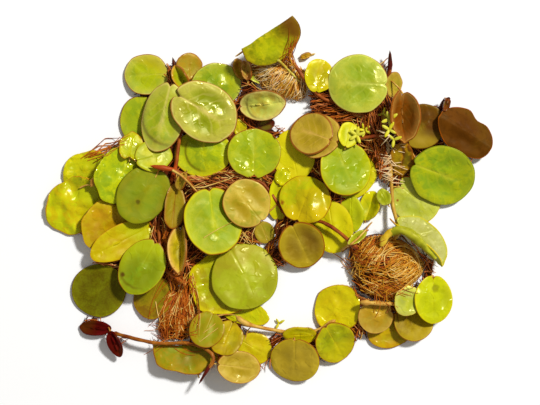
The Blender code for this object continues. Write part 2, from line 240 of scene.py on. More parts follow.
def felt(node, paint):
    """The matted mass under the loose strands: the node's own form, rounded and lumpy."""
    bm = merged_copy(node)
    bmesh.ops.subdivide_edges(bm, edges=bm.edges[:], cuts=2, use_grid_fill=True,
                              smooth=FELT_ROUNDING)
    bmesh.ops.triangulate(bm, faces=bm.faces[:])
    bm.normal_update()
    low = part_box(node)[0].z
    for vert in bm.verts:
        lump = noise.noise(vert.co * FELT_LUMP_SCALE) * FELT_LUMP - FELT_SHRINK
        vert.co += vert.normal * lump
        vert.co.z = max(vert.co.z, low)
    new_piece(node + "_felt", finished(bm, node + "_felt"), [paint], node)


def combed_strands(node, count, length, heading_at, bend, paints, lift=0.0):
    """Strands laid over a tuft. heading_at gives their direction, in radians, at a point in plan.

    paints are the numbers of their paints, deepest first: the loosest strands lie on top. The calls give
    them from dark to pale, so the deeper strands are darker, partly painted shade under the upper ones. lift
    raises them all.
    """
    surface = surface_of(merged_copy(node))
    low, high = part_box(node)
    strands = []
    while len(strands) < count:
        spot = Vector((chance.uniform(low.x, high.x), chance.uniform(low.y, high.y), 0.0))
        reach = chance.uniform(*length) / (STRAND_POINTS - 1)
        heading = heading_at(spot) + chance.gauss(0.0, STRAND_STRAY)
        turn = chance.gauss(0.0, bend) / STRAND_POINTS
        looseness = chance.random()
        rise = LOOSE_RISE[0] + (LOOSE_RISE[1] - LOOSE_RISE[0]) * looseness + lift
        wave = chance.uniform(0.0, math.tau)
        points = []
        for step in range(STRAND_POINTS):
            height = height_on(surface, spot.x, spot.y, TUFT_DROP_FROM)
            if height is None:
                break
            sway = STRAND_SWAY * math.sin(SWAY_PITCH * step + wave)
            points.append((spot.x, spot.y, max(height + rise + sway, STRAND_RADIUS)))
            spot = spot + Vector((math.cos(heading), math.sin(heading), 0.0)) * reach
            heading += turn + chance.gauss(0.0, STRAND_WANDER)
        if len(points) >= STRAND_POINTS // 2:
            paint = paints[min(int(looseness * len(paints)), len(paints) - 1)]
            strands.append((points, STRAND_RADIUS * chance.uniform(*STRAND_GIRTHS), paint))
    return strands


BALL_CENTRE = Vector((31.0, -16.4, 0.0)) * MM
BALL_LOOP = 6 * MM
BALL_LOOP_MOST = 1.2
BALL_ACROSS = math.radians(18)
BALL_ACROSS_SHARE = 0.5
BALL_PAINTED_SHADE_TO = 27.5 * MM
BALL_STRANDS = (600, (7 * MM, 18 * MM))
BALL_BEND = 1.0
BALL_LOOPS = (60, (14 * MM, 24 * MM))
BALL_LOOPS_BEND = 2.2
BALL_LOOPS_LIFT = 0.45 * MM
TUFT_LEFT_STRANDS = (330, (4 * MM, 12 * MM))
TUFT_TOP_STRANDS = (330, (4 * MM, 10 * MM))
TUFT_BEND = 0.7
TUFT_LEFT_BASE = Vector((-19.6, -18.0, 0.0)) * MM
TUFT_TOP_BASE = Vector((7.4, 33.4, 0.0)) * MM
# The felt of the ball and the left tuft is dark root colour: partly old matted roots, partly painted shade
# between the strands.
TUFTS = {
    "root_ball_right": ("root_gold", dark_roots,
                        [dark_roots, rust_roots, orange_roots, gold_roots, cream_roots]),
    "root_tuft_left": ("root_gold", dark_roots,
                       [dark_roots, rust_roots, red_orange_roots, orange_roots, cream_roots]),
    "root_tuft_top": ("root_red", gold_roots,
                      [orange_roots, gold_roots, pink_roots, cream_roots, pale_roots])}


def round_the_ball(spot):
    """Strands of the ball run in flat loops round its middle, drawn out across and up to the right."""
    off = spot - BALL_CENTRE
    tangent = math.atan2(off.y, off.x) + math.pi / 2
    strength = min(off.length / BALL_LOOP, BALL_LOOP_MOST)
    loop = Vector((math.cos(tangent), math.sin(tangent), 0.0)) * strength
    across = Vector((math.cos(BALL_ACROSS), math.sin(BALL_ACROSS), 0.0))
    if loop.dot(across) < 0:
        loop = -loop
    way = loop + across * BALL_ACROSS_SHARE
    return math.atan2(way.y, way.x)


def away_from(base):
    """Strands of a tuft fan out from where it grows."""
    return lambda spot: math.atan2(spot.y - base.y, spot.x - base.x)


for node, (slot, filling_and_shade, _) in TUFTS.items():
    felt(node, filling_and_shade)
ball = combed_strands("root_ball_right", *BALL_STRANDS, round_the_ball, BALL_BEND,
                      (0, 0, 0, 1, 1, 2, 2, 3, 3, 4))
# Strands starting on the ball's left, away from the key light, take the next darker paint: painted shade.
ball = [(points, radius, max(paint - 1, 0) if points[0][0] < BALL_PAINTED_SHADE_TO else paint)
        for points, radius, paint in ball]
ball += combed_strands("root_ball_right", *BALL_LOOPS, round_the_ball, BALL_LOOPS_BEND, (2, 3, 3, 4),
                       BALL_LOOPS_LIFT)
left_fan = combed_strands("root_tuft_left", *TUFT_LEFT_STRANDS, away_from(TUFT_LEFT_BASE), TUFT_BEND,
                          (0, 0, 1, 1, 1, 2, 2, 3, 4))
top_fan = combed_strands("root_tuft_top", *TUFT_TOP_STRANDS, away_from(TUFT_TOP_BASE), TUFT_BEND,
                         (0, 1, 2, 1, 3, 1, 3, 3, 4))
for (node, (slot, _, paints)), strands in zip(TUFTS.items(), (ball, left_fan, top_fan)):
    strand_piece(node + "_strands", strands, paints)

# Leaf blades
# Each is one thin, waxy, slightly swollen blade, round to heart-shaped, notched where its short stalk
# joins. It grew as one piece: a groove marks the midrib, and the rim is pale with a red-brown edge line.
BLADE_SIDES = (16, 20)
BLADE_THICKNESS = 0.40 * MM
BLADE_SEGMENTS = 72
BLADE_RINGS = 12
RING_REACH = 0.55
RIM_STEEPNESS = 4
SOLID_SWELL = 0.15 * MM
PILLOW = 0.30 * MM
HOLLOW = 0.28 * MM
HOLLOW_PLACE = (0.05, 0.42)
HOLLOW_SPREAD = (0.45, 0.24)
GROOVE = 0.07 * MM
GROOVE_WIDTH = 0.06
ROLLED_RIM = 0.16 * MM
ROLLED_FROM = 0.86
DIMPLES = ((230.0, 0.22 * MM), (560.0, 0.10 * MM))
SWELL_WALL = 0.13
NOTCH_CLOSING = 0.6
BULGE_SPREAD = math.radians(20)
WAVES = 5
SLOW_WAVES = 3
WAVE_SHIFT = 70
LOBE_SHIFT = 90
GROOVE_RUN = (1.3, 0.15)
LIP_WIDTH = 0.12 * MM
LIP_ANGLE = math.radians(50)
BLADE_FLOOR = 0.42 * MM
FLOOR_STEPS = (9, 0.03 * MM)
LIGHT_SLOPE = np.array((0.272, 0.240))


def walk(after):
    """The keys of a closed chain in order."""
    chain = [next(iter(after))]
    while after[chain[-1]] is not chain[0]:
        chain.append(after[chain[-1]])
    return chain


def blade_points(node):
    """Middle, ring and rim points of the upper side of a leaf's solid. Both loops start at the notch."""
    bm = merged_copy(node)
    bm.normal_update()
    for middle in bm.verts:
        slants = {tuple(round(part, 2) for part in face.normal) for face in middle.link_faces}
        if len(middle.link_edges) in BLADE_SIDES and len(slants) > 4:
            break
    ring_after = {}
    for face in middle.link_faces:
        corner = next(loop for loop in face.loops if loop.vert is middle)
        ring_after[corner.link_loop_next.vert] = corner.link_loop_prev.vert
    ring = walk(ring_after)
    inner = {middle, *ring}
    rim_after = {}
    for face in {face for vert in ring for face in vert.link_faces}:
        for loop in face.loops:
            if loop.vert not in inner and loop.link_loop_next.vert not in inner:
                rim_after[loop.vert] = loop.link_loop_next.vert
    ring = np.array([vert.co[:] for vert in ring])
    rim = np.array([vert.co[:] for vert in walk(rim_after)])
    middle = np.array(middle.co[:])
    bm.free()
    short = np.linalg.norm(ring - np.roll(ring, 1, axis=0), axis=1)
    ring = np.roll(ring, -int(np.argmin(short + np.roll(short, -1))), axis=0)
    out = [(side - middle) / np.linalg.norm(side - middle, axis=1)[:, None] for side in (ring, rim)]
    turn = max(range(len(rim)), key=lambda shift: (out[0] * np.roll(out[1], -shift, axis=0)).sum())
    return middle, ring, np.roll(rim, -turn, axis=0)


def through(points, count):
    """count steps along a smooth curve through one half's points, square to the midrib at the tip."""
    notch, tip = points[0], points[-1]
    line = (tip - notch) / np.linalg.norm(tip - notch)
    before_tip = points[-2] - tip
    mirrored = tip + 2 * line * before_tip.dot(line) - before_tip
    chain = np.array([2 * notch - points[1], *points, mirrored])
    found = []
    for step in np.linspace(0.0, len(points) - 1, count + 1):
        first = min(int(step), len(points) - 2)
        t = step - first
        a, b, c, d = chain[first:first + 4]
        found.append(b + 0.5 * t * (c - a + t * (2 * a - 5 * b + 4 * c - d + t * (3 * (b - c) + d - a))))
    return np.array(found)


def whole_loop(points):
    """A smooth closed loop of BLADE_SEGMENTS points through both halves of a blade's ring or rim."""
    half = len(points) // 2
    first = through(points[:half + 1], BLADE_SEGMENTS // 2)
    second = through(np.array([points[0], *points[:half - 1:-1]]), BLADE_SEGMENTS // 2)
    return np.concatenate((first, second[-2:0:-1]))


def eased(value, low, high):
    """A smooth step from 0 at low to 1 at high."""
    share = min(1.0, max(0.0, (value - low) / (high - low)))
    return share * share * (3 - 2 * share)


def outlined(points, notch_closing, bulges, lobes):
    """A leaf's points with its notch partly closed and its rim pushed out or in at some headings.

    bulges are (heading in degrees, share of the reach), and lobes is the share of a scalloped rim.
    """
    middle, ring, rim = points
    ring, rim = ring.copy(), rim.copy()
    for loop in (ring, rim):
        loop[0] += ((loop[1] + loop[-1]) / 2 - loop[0]) * notch_closing
    for index, point in enumerate(rim):
        out = point - middle
        heading = math.atan2(out[1], out[0])
        grown = 1.0 + lobes * math.sin(WAVES * heading + LOBE_SHIFT * middle[0] / MM)
        for toward, share in bulges:
            off = math.remainder(heading - math.radians(toward), math.tau)
            grown += share * math.exp(-(off / BULGE_SPREAD) ** 2)
        rim[index] = middle + out * grown
    return middle, ring, rim


def skin_lift(x, y, off, place, form):
    """How far the skin stands above the plain form. x and y are on the unit disc, off is in plan."""
    reach = math.hypot(x, y)
    body = max(0.0, 1 - reach**2)
    lift = form["pillow"] * body
    half = ((x - HOLLOW_PLACE[0]) / HOLLOW_SPREAD[0]) ** 2
    half += ((abs(y) - HOLLOW_PLACE[1]) / HOLLOW_SPREAD[1]) ** 2
    lift -= form["hollow"] * math.exp(-half)
    run = min(1.0, GROOVE_RUN[0] * (1 - x) * body + GROOVE_RUN[1])
    lift -= form["groove"] * math.exp(-(y / GROOVE_WIDTH) ** 2) * run
    lift -= ROLLED_RIM * eased(reach, ROLLED_FROM, 1.0)
    if form["swell"]:
        centre, size, rise = form["swell"]
        gap = math.dist(off, centre)
        lift += rise * MM * eased(gap, size + SWELL_WALL, size - SWELL_WALL)
    for scale, depth in DIMPLES:
        lift += form["dimple"] * depth * noise.noise(place * scale) * min(1.0, 3 * body)
    turn = math.atan2(y, x)
    wave = math.sin(WAVES * turn + WAVE_SHIFT * place.x / MM) + math.sin(SLOW_WAVES * turn + place.y / MM)
    return lift + form["wave"] * MM * wave / 2 * reach**3


def lean_on(bm, puddles):
    """Leans the blade at each puddle to the upper right and marks how wet each point is."""
    wetness = bm.verts.layers.float.new("puddle")
    bm.normal_update()
    facets = []
    for x, y, radius in puddles:
        spot = np.array((x, y)) * MM
        nearest = min(bm.verts, key=lambda vert: math.dist(vert.co[:2], spot))
        normal = nearest.normal
        facets.append((spot, radius * MM, np.array(normal[:2]) / normal.z - LIGHT_SLOPE))
    for vert in bm.verts:
        place = np.array(vert.co[:2])
        for spot, radius, lean in facets:
            off = place - spot
            share = math.exp(-(off @ off) / radius**2)
            vert.co.z += float(lean @ off) * share
            vert[wetness] = max(vert[wetness], share)


def blade_mesh(name, points, pillow=1.0, hollow=1.0, dimple=1.0, groove=1.0, wave=0.0, swell=None,
               notch=NOTCH_CLOSING, bulges=(), lobes=0.0, puddles=()):
    """A fine blade through a leaf's middle, ring and rim points, with the midrib along its map's U.

    pillow, hollow, dimple and groove are shares of the usual, wave is in millimetres. swell is (centre,
    size, rise in millimetres) of a raised plateau, with its centre and size in shares of the leaf's reach.
    puddles are (x, y, radius) in millimetres of wet crinkles, each a facet that leans to the upper right.
    """
    form = {"pillow": pillow * PILLOW, "hollow": hollow * HOLLOW, "dimple": dimple,
            "groove": groove * GROOVE, "wave": wave, "swell": swell}
    middle, ring, rim = outlined(points, notch, bulges, lobes)
    upwards = np.cross(ring[len(ring) // 4] - middle, ring[len(ring) // 2] - middle)
    upwards += np.cross(ring[len(ring) // 2] - middle, ring[-len(ring) // 4] - middle)
    upwards /= np.linalg.norm(upwards)
    middle = middle - upwards * SOLID_SWELL
    size = np.linalg.norm(rim - middle, axis=1).mean()
    ring, rim = whole_loop(ring), whole_loop(rim)
    bm = bmesh.new()
    bmesh.ops.create_circle(bm, cap_ends=True, cap_tris=True, segments=BLADE_SEGMENTS,
                            radius=1 / BLADE_RINGS)
    for step in range(1, BLADE_RINGS):
        border = [edge for edge in bm.edges if edge.is_boundary]
        grown = bmesh.ops.extrude_edge_only(bm, edges=border)["geom"]
        verts = [part for part in grown if isinstance(part, bmesh.types.BMVert)]
        bmesh.ops.scale(bm, vec=((step + 1) / step,) * 3, verts=verts)
    bmesh.ops.recalc_face_normals(bm, faces=bm.faces[:])
    if sum(face.normal.z for face in bm.faces) < 0:
        bmesh.ops.reverse_faces(bm, faces=bm.faces[:])
    flat = bm.loops.layers.uv.new("blade")
    for face in bm.faces:
        for loop in face.loops:
            loop[flat].uv = (loop.vert.co.x / 2 + 0.5, loop.vert.co.y / 2 + 0.5)
    on_disc = {}
    for vert in bm.verts:
        x, y = vert.co.x, vert.co.y
        reach = math.hypot(x, y)
        index = round(math.atan2(-y, -x) / math.tau * BLADE_SEGMENTS) % BLADE_SEGMENTS
        on_disc[vert] = (x, y)
        bulge = (ring[index] - middle - (rim[index] - middle) * RING_REACH) / RING_REACH
        vert.co = middle + (rim[index] - middle) * reach + bulge * (reach - reach**RIM_STEEPNESS)
    bm.normal_update()
    for vert, (x, y) in on_disc.items():
        off = ((vert.co.x - middle[0]) / size, (vert.co.y - middle[1]) / size)
        vert.co += vert.normal * skin_lift(x, y, off, vert.co, form)
    lean_on(bm, puddles)
    lowest = BLADE_FLOOR + len(pieces) % FLOOR_STEPS[0] * FLOOR_STEPS[1]
    for vert in bm.verts:
        vert.co.z = max(vert.co.z, lowest)
    return finished(bm, name)


def thicken(piece, thickness):
    """Gives a sheet its thickness, downwards."""
    wall = piece.modifiers.new("thickness", "SOLIDIFY")
    wall.thickness = thickness
    wall.offset = -1.0


# The pattern's clouds are (scale, detail, distortion). Its steps run from one value to the next, and where
# four are given the last two are what they step between.
BROAD_CLOUDS = (170.0, 2.0, 0.5)
MIDDLING_CLOUDS = (480.0, 3.0, 0.8)
FINE_CLOUDS = (2600.0, 2.0, 0.0)
GLOOM_CLOUDS = (110.0, 1.0, 0.3)
FILM_CLOUDS = (330.0, 1.0, 0.4)
RIPPLE_CLOUDS = (950.0, 0.0, 0.3)
PATCH_STEP = (0.44, 0.57)
SPECK_STEP = (0.35, 0.7, 0.0, 0.28)
GLOOM_STEP = (0.40, 0.66, 0.0, 0.34)
HOLLOW_SHADE_SPREAD = (0.50, 0.30)
HOLLOW_STEP = (0.1, 1.8, 0.9, 0.0)
BLUSH_STEP = (-0.15, 0.75)
FOOT_AT = 1.04
FOOT_STEP = (0.0, 0.11, 1.0, 0.0)
LEE_WAY = (-0.86, -0.5, 0.0)
LEE_STEP = (0.25, 0.95)
RIB_STEP = (0.0, 0.15, 1.0, 0.0)
RIB_RUN = (-0.1, 0.85, 1.0, 0.0)
VEIN_SLANT = -0.95
VEIN_PITCH = 17.0
VEIN_STEP = (0.6, 1.0)
VEIN_RUN = (0.5, 0.9, 1.0, 0.0)
VEIN_SHARE = 0.30
RIM_END = 0.975
RIM_FULL = 0.97
PALING_STEP = (0.5, 1.05, 0.0, 0.42)
EDGE_STEP = (0.962, 0.990, 0.0, 0.9)
SPOT_STEP = (0.35, 1.0, 1.0, 0.0)
FILM_STEP = (0.60, 0.70)
PUDDLE_STEP = (0.35, 0.6)
PUDDLE_ROUGHNESS = 0.22
DRY_ROUGHNESS = 0.46

green = (0.3, 0.4, 0.02, 1.0)
leaf_pattern = bpy.data.node_groups.new("leaf pattern", "ShaderNodeTree")
for kind, values in (
        ("Color", dict.fromkeys(("Leaf", "Patch", "Rim", "Edge", "Shade", "Hollow", "Blush", "Spot"),
                                green)),
        ("Vector", dict.fromkeys(("Middle", "Blush Way", "Spot Place", "Swell Place"), (0.0, 0.0, 0.0))),
        ("Float", {"Mottling": 0.5, "Rim Width": 0.08, "Rim Strength": 0.8, "Midrib Strength": 0.3,
                   "Blush Strength": 0.0, "Spot Size": 0.001, "Spot Strength": 0.0, "Hollow Strength": 0.3,
                   "Swell Size": 0.001, "Swell Painted Shade": 0.0, "Wetness": 0.4, "Edge Width": 0.0})):
    for title, value in values.items():
        socket = leaf_pattern.interface.new_socket(title, in_out="INPUT", socket_type="NodeSocket" + kind)
        socket.default_value = value
for title, kind in (("Colour", "Color"), ("Roughness", "Float"), ("Height", "Float")):
    leaf_pattern.interface.new_socket(title, in_out="OUTPUT", socket_type="NodeSocket" + kind)
given = leaf_pattern.nodes.new("NodeGroupInput").outputs
made = leaf_pattern.nodes.new("NodeGroupOutput").inputs
place = shaded(leaf_pattern, "TexCoord", (), "Object")


def worked(operation, *sources):
    """The result of one math node of the leaf pattern."""
    return shaded(leaf_pattern, "Math", enumerate(sources), 0, operation=operation)


def times(first, *others):
    for other in others:
        first = worked("MULTIPLY", first, other)
    return first


def added(value, other, share):
    """The value with a share of the other added."""
    return worked("MULTIPLY_ADD", other, share, value)


def vector_worked(operation, *sources):
    output = "Value" if operation in ("LENGTH", "DOT_PRODUCT", "DISTANCE") else "Vector"
    return shaded(leaf_pattern, "VectorMath", enumerate(sources), output, operation=operation)


def stepped(value, start, end, at_start=0.0, at_end=1.0):
    """A smooth step of the value."""
    sources = (("Value", value), ("From Min", start), ("From Max", end),
               ("To Min", at_start), ("To Max", at_end))
    return shaded(leaf_pattern, "MapRange", sources, "Result", interpolation_type="SMOOTHSTEP")


def mixed(share, a, b):
    sources = (("Factor", share), ("A", a), ("B", b))
    return shaded(leaf_pattern, "Mix", sources, "Result", data_type="RGBA")


def clouds(scale, detail, distortion):
    sources = (("Vector", place), ("Scale", scale), ("Detail", detail), ("Distortion", distortion))
    return shaded(leaf_pattern, "TexNoise", sources, "Fac")


# Where a point lies on its blade: its reach from the middle, along the midrib and across it
disc = vector_worked("SUBTRACT", shaded(leaf_pattern, "UVMap", (), "UV", uv_map="blade"), (0.5, 0.5, 0.0))
reach = times(vector_worked("LENGTH", disc), 2.0)
along = times(shaded(leaf_pattern, "SeparateXYZ", [(0, disc)], "X"), 2.0)
across = times(worked("ABSOLUTE", shaded(leaf_pattern, "SeparateXYZ", [(0, disc)], "Y")), 2.0)
broad = clouds(*BROAD_CLOUDS)
middling = clouds(*MIDDLING_CLOUDS)
fine = clouds(*FINE_CLOUDS)
uneven = worked("SUBTRACT", middling, 0.5)
drift = worked("SUBTRACT", broad, 0.5)
uneven_reach = added(reach, uneven, 0.10)

# Patches of a second colour, specks, darker places at random, and a tint in the two hollows beside the
# midrib, partly painted shade and partly the leaf's own tone
patches = times(stepped(added(times(middling, 0.55), broad, 0.45), *PATCH_STEP), given["Mottling"])
colour = mixed(patches, given["Leaf"], given["Patch"])
colour = mixed(stepped(fine, *SPECK_STEP), colour, given["Patch"])
gloom = stepped(clouds(*GLOOM_CLOUDS), *GLOOM_STEP)
colour = mixed(times(gloom, given["Mottling"]), colour, given["Shade"])
hollow = [worked("DIVIDE", worked("SUBTRACT", part, centre), width)
          for part, centre, width in zip((along, across), HOLLOW_PLACE, HOLLOW_SHADE_SPREAD)]
hollow = worked("ADD", times(hollow[0], hollow[0]), times(hollow[1], hollow[1]))
hollow = stepped(added(hollow, uneven, 1.6), *HOLLOW_STEP)
colour = mixed(times(hollow, given["Hollow Strength"]), colour, given["Hollow"])

# A blush towards one side, and a painted shade line on the lee side of a plateau's foot, away from the key
# light
toward = vector_worked("DOT_PRODUCT", vector_worked("SUBTRACT", place, given["Middle"]), given["Blush Way"])
blush = times(stepped(added(toward, drift, 1.4), *BLUSH_STEP), given["Blush Strength"])
colour = mixed(blush, colour, given["Blush"])
foot = worked("DIVIDE", vector_worked("DISTANCE", place, given["Swell Place"]), given["Swell Size"])
foot = worked("ABSOLUTE", worked("SUBTRACT", added(foot, uneven, 0.10), FOOT_AT))
lee = vector_worked("DOT_PRODUCT", vector_worked("SUBTRACT", place, given["Swell Place"]), LEE_WAY)
lee = stepped(worked("DIVIDE", lee, given["Swell Size"]), *LEE_STEP)
colour = mixed(times(stepped(foot, *FOOT_STEP), lee, given["Swell Painted Shade"]), colour, given["Shade"])

# Pale midrib and side veins, the pale rim, and the edge line
rib = times(stepped(added(across, uneven, 0.10), *RIB_STEP), stepped(along, *RIB_RUN))
slant = added(added(along, across, VEIN_SLANT), drift, 0.5)
comb = worked("SINE", times(slant, VEIN_PITCH))
veins = times(stepped(comb, *VEIN_STEP), stepped(reach, *VEIN_RUN))
colour = mixed(times(added(rib, veins, VEIN_SHARE), given["Midrib Strength"]), colour, given["Rim"])
rim = stepped(uneven_reach, worked("SUBTRACT", RIM_END, given["Rim Width"]), RIM_FULL)
rim = worked("MAXIMUM", rim, stepped(uneven_reach, *PALING_STEP))
colour = mixed(times(rim, given["Rim Strength"]), colour, given["Rim"])
edge = worked("ADD", added(reach, drift, 0.08), given["Edge Width"])
colour = mixed(stepped(edge, *EDGE_STEP), colour, given["Edge"])

# One spot
gap = worked("DIVIDE", vector_worked("DISTANCE", place, given["Spot Place"]), given["Spot Size"])
spot = times(stepped(added(gap, uneven, 1.1), *SPOT_STEP), given["Spot Strength"])
put(mixed(spot, colour, given["Spot"]), made["Colour"])

# The wet film and its puddles, smooth and rippled, over the waxy skin
puddle = stepped(added(shaded(leaf_pattern, "Attribute", (), "Fac", attribute_name="puddle"), uneven, 1.2),
                 *PUDDLE_STEP)
film = stepped(added(clouds(*FILM_CLOUDS), given["Wetness"], 0.20), *FILM_STEP)
film = worked("MAXIMUM", times(film, stepped(given["Wetness"], 0.0, 0.5)), puddle)
dull = added(added(added(DRY_ROUGHNESS, given["Wetness"], -0.12), uneven, 0.25), film, -0.24)
put(worked("MAXIMUM", dull, times(puddle, PUDDLE_ROUGHNESS)), made["Roughness"])
ripple = times(clouds(*RIPPLE_CLOUDS), film, added(2.0, puddle, -1.6))
put(added(added(added(ripple, middling, 0.8), rib, -0.3), fine, 0.06), made["Height"])

TONES = {
    "spring": (0.57, 0.60, 0.003), "lime": (0.45, 0.48, 0.003), "grass": (0.34, 0.40, 0.004),
    "fern": (0.21, 0.25, 0.002), "sage": (0.46, 0.46, 0.020), "moss": (0.29, 0.28, 0.003),
    "olive": (0.36, 0.24, 0.003), "deep_olive": (0.10, 0.075, 0.001), "straw": (0.54, 0.38, 0.030),
    "khaki": (0.42, 0.28, 0.015), "yellow": (0.69, 0.60, 0.003), "gold": (0.58, 0.42, 0.002),
    "amber": (0.52, 0.26, 0.004), "rust": (0.27, 0.060, 0.002), "umber": (0.13, 0.040, 0.002),
    "bark": (0.080, 0.024, 0.001), "maroon": (0.075, 0.002, 0.001), "wine": (0.125, 0.002, 0.004),
    "cream": (0.70, 0.56, 0.15), "jade": (0.20, 0.33, 0.008), "mint": (0.58, 0.60, 0.10),
    "grey_green": (0.44, 0.42, 0.14), "peach": (0.66, 0.40, 0.08), "red_brown": (0.28, 0.065, 0.004)}
USUAL_TONES = ["lime", "jade", "cream", "red_brown"]
LEAF_TINT = (1.0, 0.96, 0.45, 1.0)
LEAF_IOR = 1.42
LEAF_BUMP = 0.06 * MM
SPOT_STRENGTH = 0.9
# Strength of the painted shade line at the lee foot of a plateau
SWELL_PAINTED_SHADE = 0.75
NODE_SLOTS = {row["node"]: row["material_slot"] for row in frame["record"]["subparts"]}

blades = {}


def toned(name):
    return (*TONES[name], 1.0)


def leaf_paint(name, points, tones, mottling=0.7, rim_width=0.08, rim_strength=0.6, midrib=0.12, wet=0.35,
               blush=None, spot=None, hollow=("fern", 0.35), shine=0.42, edge_width=0.0, swell=None):
    """One leaf's finish. tones are those of the leaf, its patches, its rim and its edge line.

    blush is (tone, heading in degrees, strength), spot is (tone, place, radius) in millimetres, hollow is
    (tone, strength) of a tint in the two hollows beside the midrib, partly painted shade and partly the
    leaf's own tone, and the foot of a plateau, swell, gets a painted shade line on its lee side.
    """
    paint, shader = new_paint(name, {"IOR": LEAF_IOR, "Specular IOR Level": shine,
                                     "Specular Tint": LEAF_TINT})
    tones = tones.split()
    tones += USUAL_TONES[len(tones):]
    middle = Vector(points[0])
    size = float(np.linalg.norm(points[2] - points[0], axis=1).mean())
    values = {title: toned(tone) for title, tone in zip(("Leaf", "Patch", "Rim", "Edge"), tones)}
    values |= {"Mottling": mottling, "Rim Width": rim_width, "Rim Strength": rim_strength,
               "Midrib Strength": midrib, "Middle": middle, "Wetness": wet, "Shade": toned("deep_olive"),
               "Hollow": toned(hollow[0]), "Hollow Strength": hollow[1], "Edge Width": edge_width}
    if blush:
        heading = math.radians(blush[1])
        way = Vector((math.cos(heading), math.sin(heading), 0.0)) / size
        values |= {"Blush": toned(blush[0]), "Blush Way": way, "Blush Strength": blush[2]}
    if spot:
        spot_place = Vector((spot[1][0] * MM, spot[1][1] * MM, middle.z))
        values |= {"Spot": toned(spot[0]), "Spot Place": spot_place, "Spot Size": spot[2] * MM,
                   "Spot Strength": SPOT_STRENGTH}
    if swell:
        values |= {"Swell Place": middle + Vector((*swell[0], 0.0)) * size, "Swell Size": swell[1] * size,
                   "Swell Painted Shade": SWELL_PAINTED_SHADE}
    pattern = paint.node_tree.nodes.new("ShaderNodeGroup")
    pattern.node_tree = leaf_pattern
    for title, value in values.items():
        pattern.inputs[title].default_value = value
    put(pattern.outputs["Colour"], shader.inputs["Base Color"])
    put(pattern.outputs["Roughness"], shader.inputs["Roughness"])
    bumps = (("Strength", 1.0), ("Distance", LEAF_BUMP), ("Height", pattern.outputs["Height"]))
    put(shaded(paint.node_tree, "Bump", bumps, "Normal"), shader.inputs["Normal"])
    return paint


def leaf_piece(name, points, tones, look, slot, node=None, **form):
    """Makes one leaf. look and form hold what differs from leaf_paint's and blade_mesh's usual values."""
    mesh = blade_mesh(name, points, **form)
    paint_name = name.removesuffix("_blade") + "_paint"
    paint = leaf_paint(paint_name, points, tones, swell=form.get("swell"), **look)
    piece = new_piece(name, mesh, [paint], node)
    thicken(piece, BLADE_THICKNESS)
    lip = piece.modifiers.new("lip", "BEVEL")
    lip.width = LIP_WIDTH
    lip.segments = 2
    lip.limit_method = "ANGLE"
    lip.angle_limit = LIP_ANGLE
    return mesh


def leaf(node, tones, look, **form):
    """Dresses one leaf of the frame."""
    blades[node] = blade_points(node)
    leaf_piece(node + "_blade", blades[node], tones, look, NODE_SLOTS[node], node, **form)


leaf("leaf_top_left_3", "lime jade cream rust", dict(mottling=0.5, wet=0.5, blush=("gold", 60, 0.5),
     hollow=("grass", 0.5)), puddles=((-32.1, 33.1, 1.5),))
leaf("leaf_top_left_1", "lime jade sage", dict(mottling=0.6, hollow=("jade", 0.4)))
leaf("leaf_top_left_4", "sage jade", dict(mottling=0.6, midrib=0.5, blush=("sage", 80, 0.5),
     hollow=("grass", 0.5)), swell=((0.22, 0.0), 0.92, 0.3))
leaf("leaf_top_left_5", "lime jade mint", dict(mottling=0.7, wet=1.0, hollow=("jade", 0.4)),
     puddles=((-11.8, 30.6, 1.8), (-14.1, 27.9, 1.6)))
leaf("leaf_top_left_6", "sage moss", dict(midrib=0.7, rim_strength=0.8, mottling=0.6, wet=0.5,
     hollow=("fern", 0.9)), hollow=2.2, notch=0.3, groove=0.2,
     puddles=((-17.8, 20.6, 1.7), (-10.1, 24.1, 1.4), (-12.3, 22.1, 1.3)))
leaf("leaf_top_left_2", "spring jade yellow", dict(rim_width=0.14, mottling=0.6, hollow=("jade", 0.3)),
     swell=((0.1, 0.06), 0.74, 0.4), hollow=0.3, puddles=((-19.3, 14.4, 1.4),))
leaf("leaf_centre_3", "lime jade sage", dict(midrib=0.55, mottling=0.5, wet=0.6, hollow=("jade", 0.35)),
     notch=0.35, puddles=((-5.8, 8.9, 1.6),))
leaf("leaf_top_1", "mint straw", dict(rim_width=0.14, rim_strength=0.9, wet=0.8, hollow=("fern", 0.3)),
     swell=((0.05, 0.05), 0.8, 0.3), wave=0.12, dimple=0.6, puddles=((-0.3, 24.4, 1.3),))
leaf("leaf_far_left_1", "yellow lime yellow gold", dict(rim_strength=0.2, wet=0.9, mottling=0.9,
     hollow=("lime", 0.6)), wave=0.45, lobes=0.04, dimple=2.8, notch=1.0,
     bulges=((190, -0.1), (235, 0.1), (290, 0.22), (330, 0.16)),
     puddles=((-48.3, 5.1, 1.8), (-45.3, 8.4, 1.6)))
leaf("leaf_far_left_2", "gold spring yellow amber", dict(rim_strength=0.2, mottling=1.0, wet=1.0,
     blush=("lime", 20, 0.7), hollow=("yellow", 0.5)), wave=0.5, lobes=0.03, dimple=3.4, notch=1.0,
     bulges=((110, -0.06), (40, 0.16), (0, 0.14)),
     puddles=((-44.8, 0.1, 2.4), (-49.8, 0.9, 2.6), (-47.3, -7.4, 1.6)))
leaf("leaf_far_left_5", "spring jade spring lime", dict(rim_strength=0.3, mottling=0.7, wet=1.0,
     hollow=("jade", 0.4)), wave=0.4, lobes=0.04, dimple=2.7, notch=0.9, bulges=((200, 0.1), (235, 0.14)),
     puddles=((-39.3, 5.4, 2.6), (-41.6, 2.1, 2.0)))
leaf("leaf_far_left_3", "gold amber gold amber", dict(wet=0.5, hollow=("amber", 0.4)), lobes=0.04,
     dimple=2.6, wave=0.2)
leaf("leaf_far_left_4", "gold yellow gold amber", dict(blush=("lime", 30, 0.8), shine=0.25,
     hollow=("amber", 0.3)), pillow=2.0, dimple=1.2)
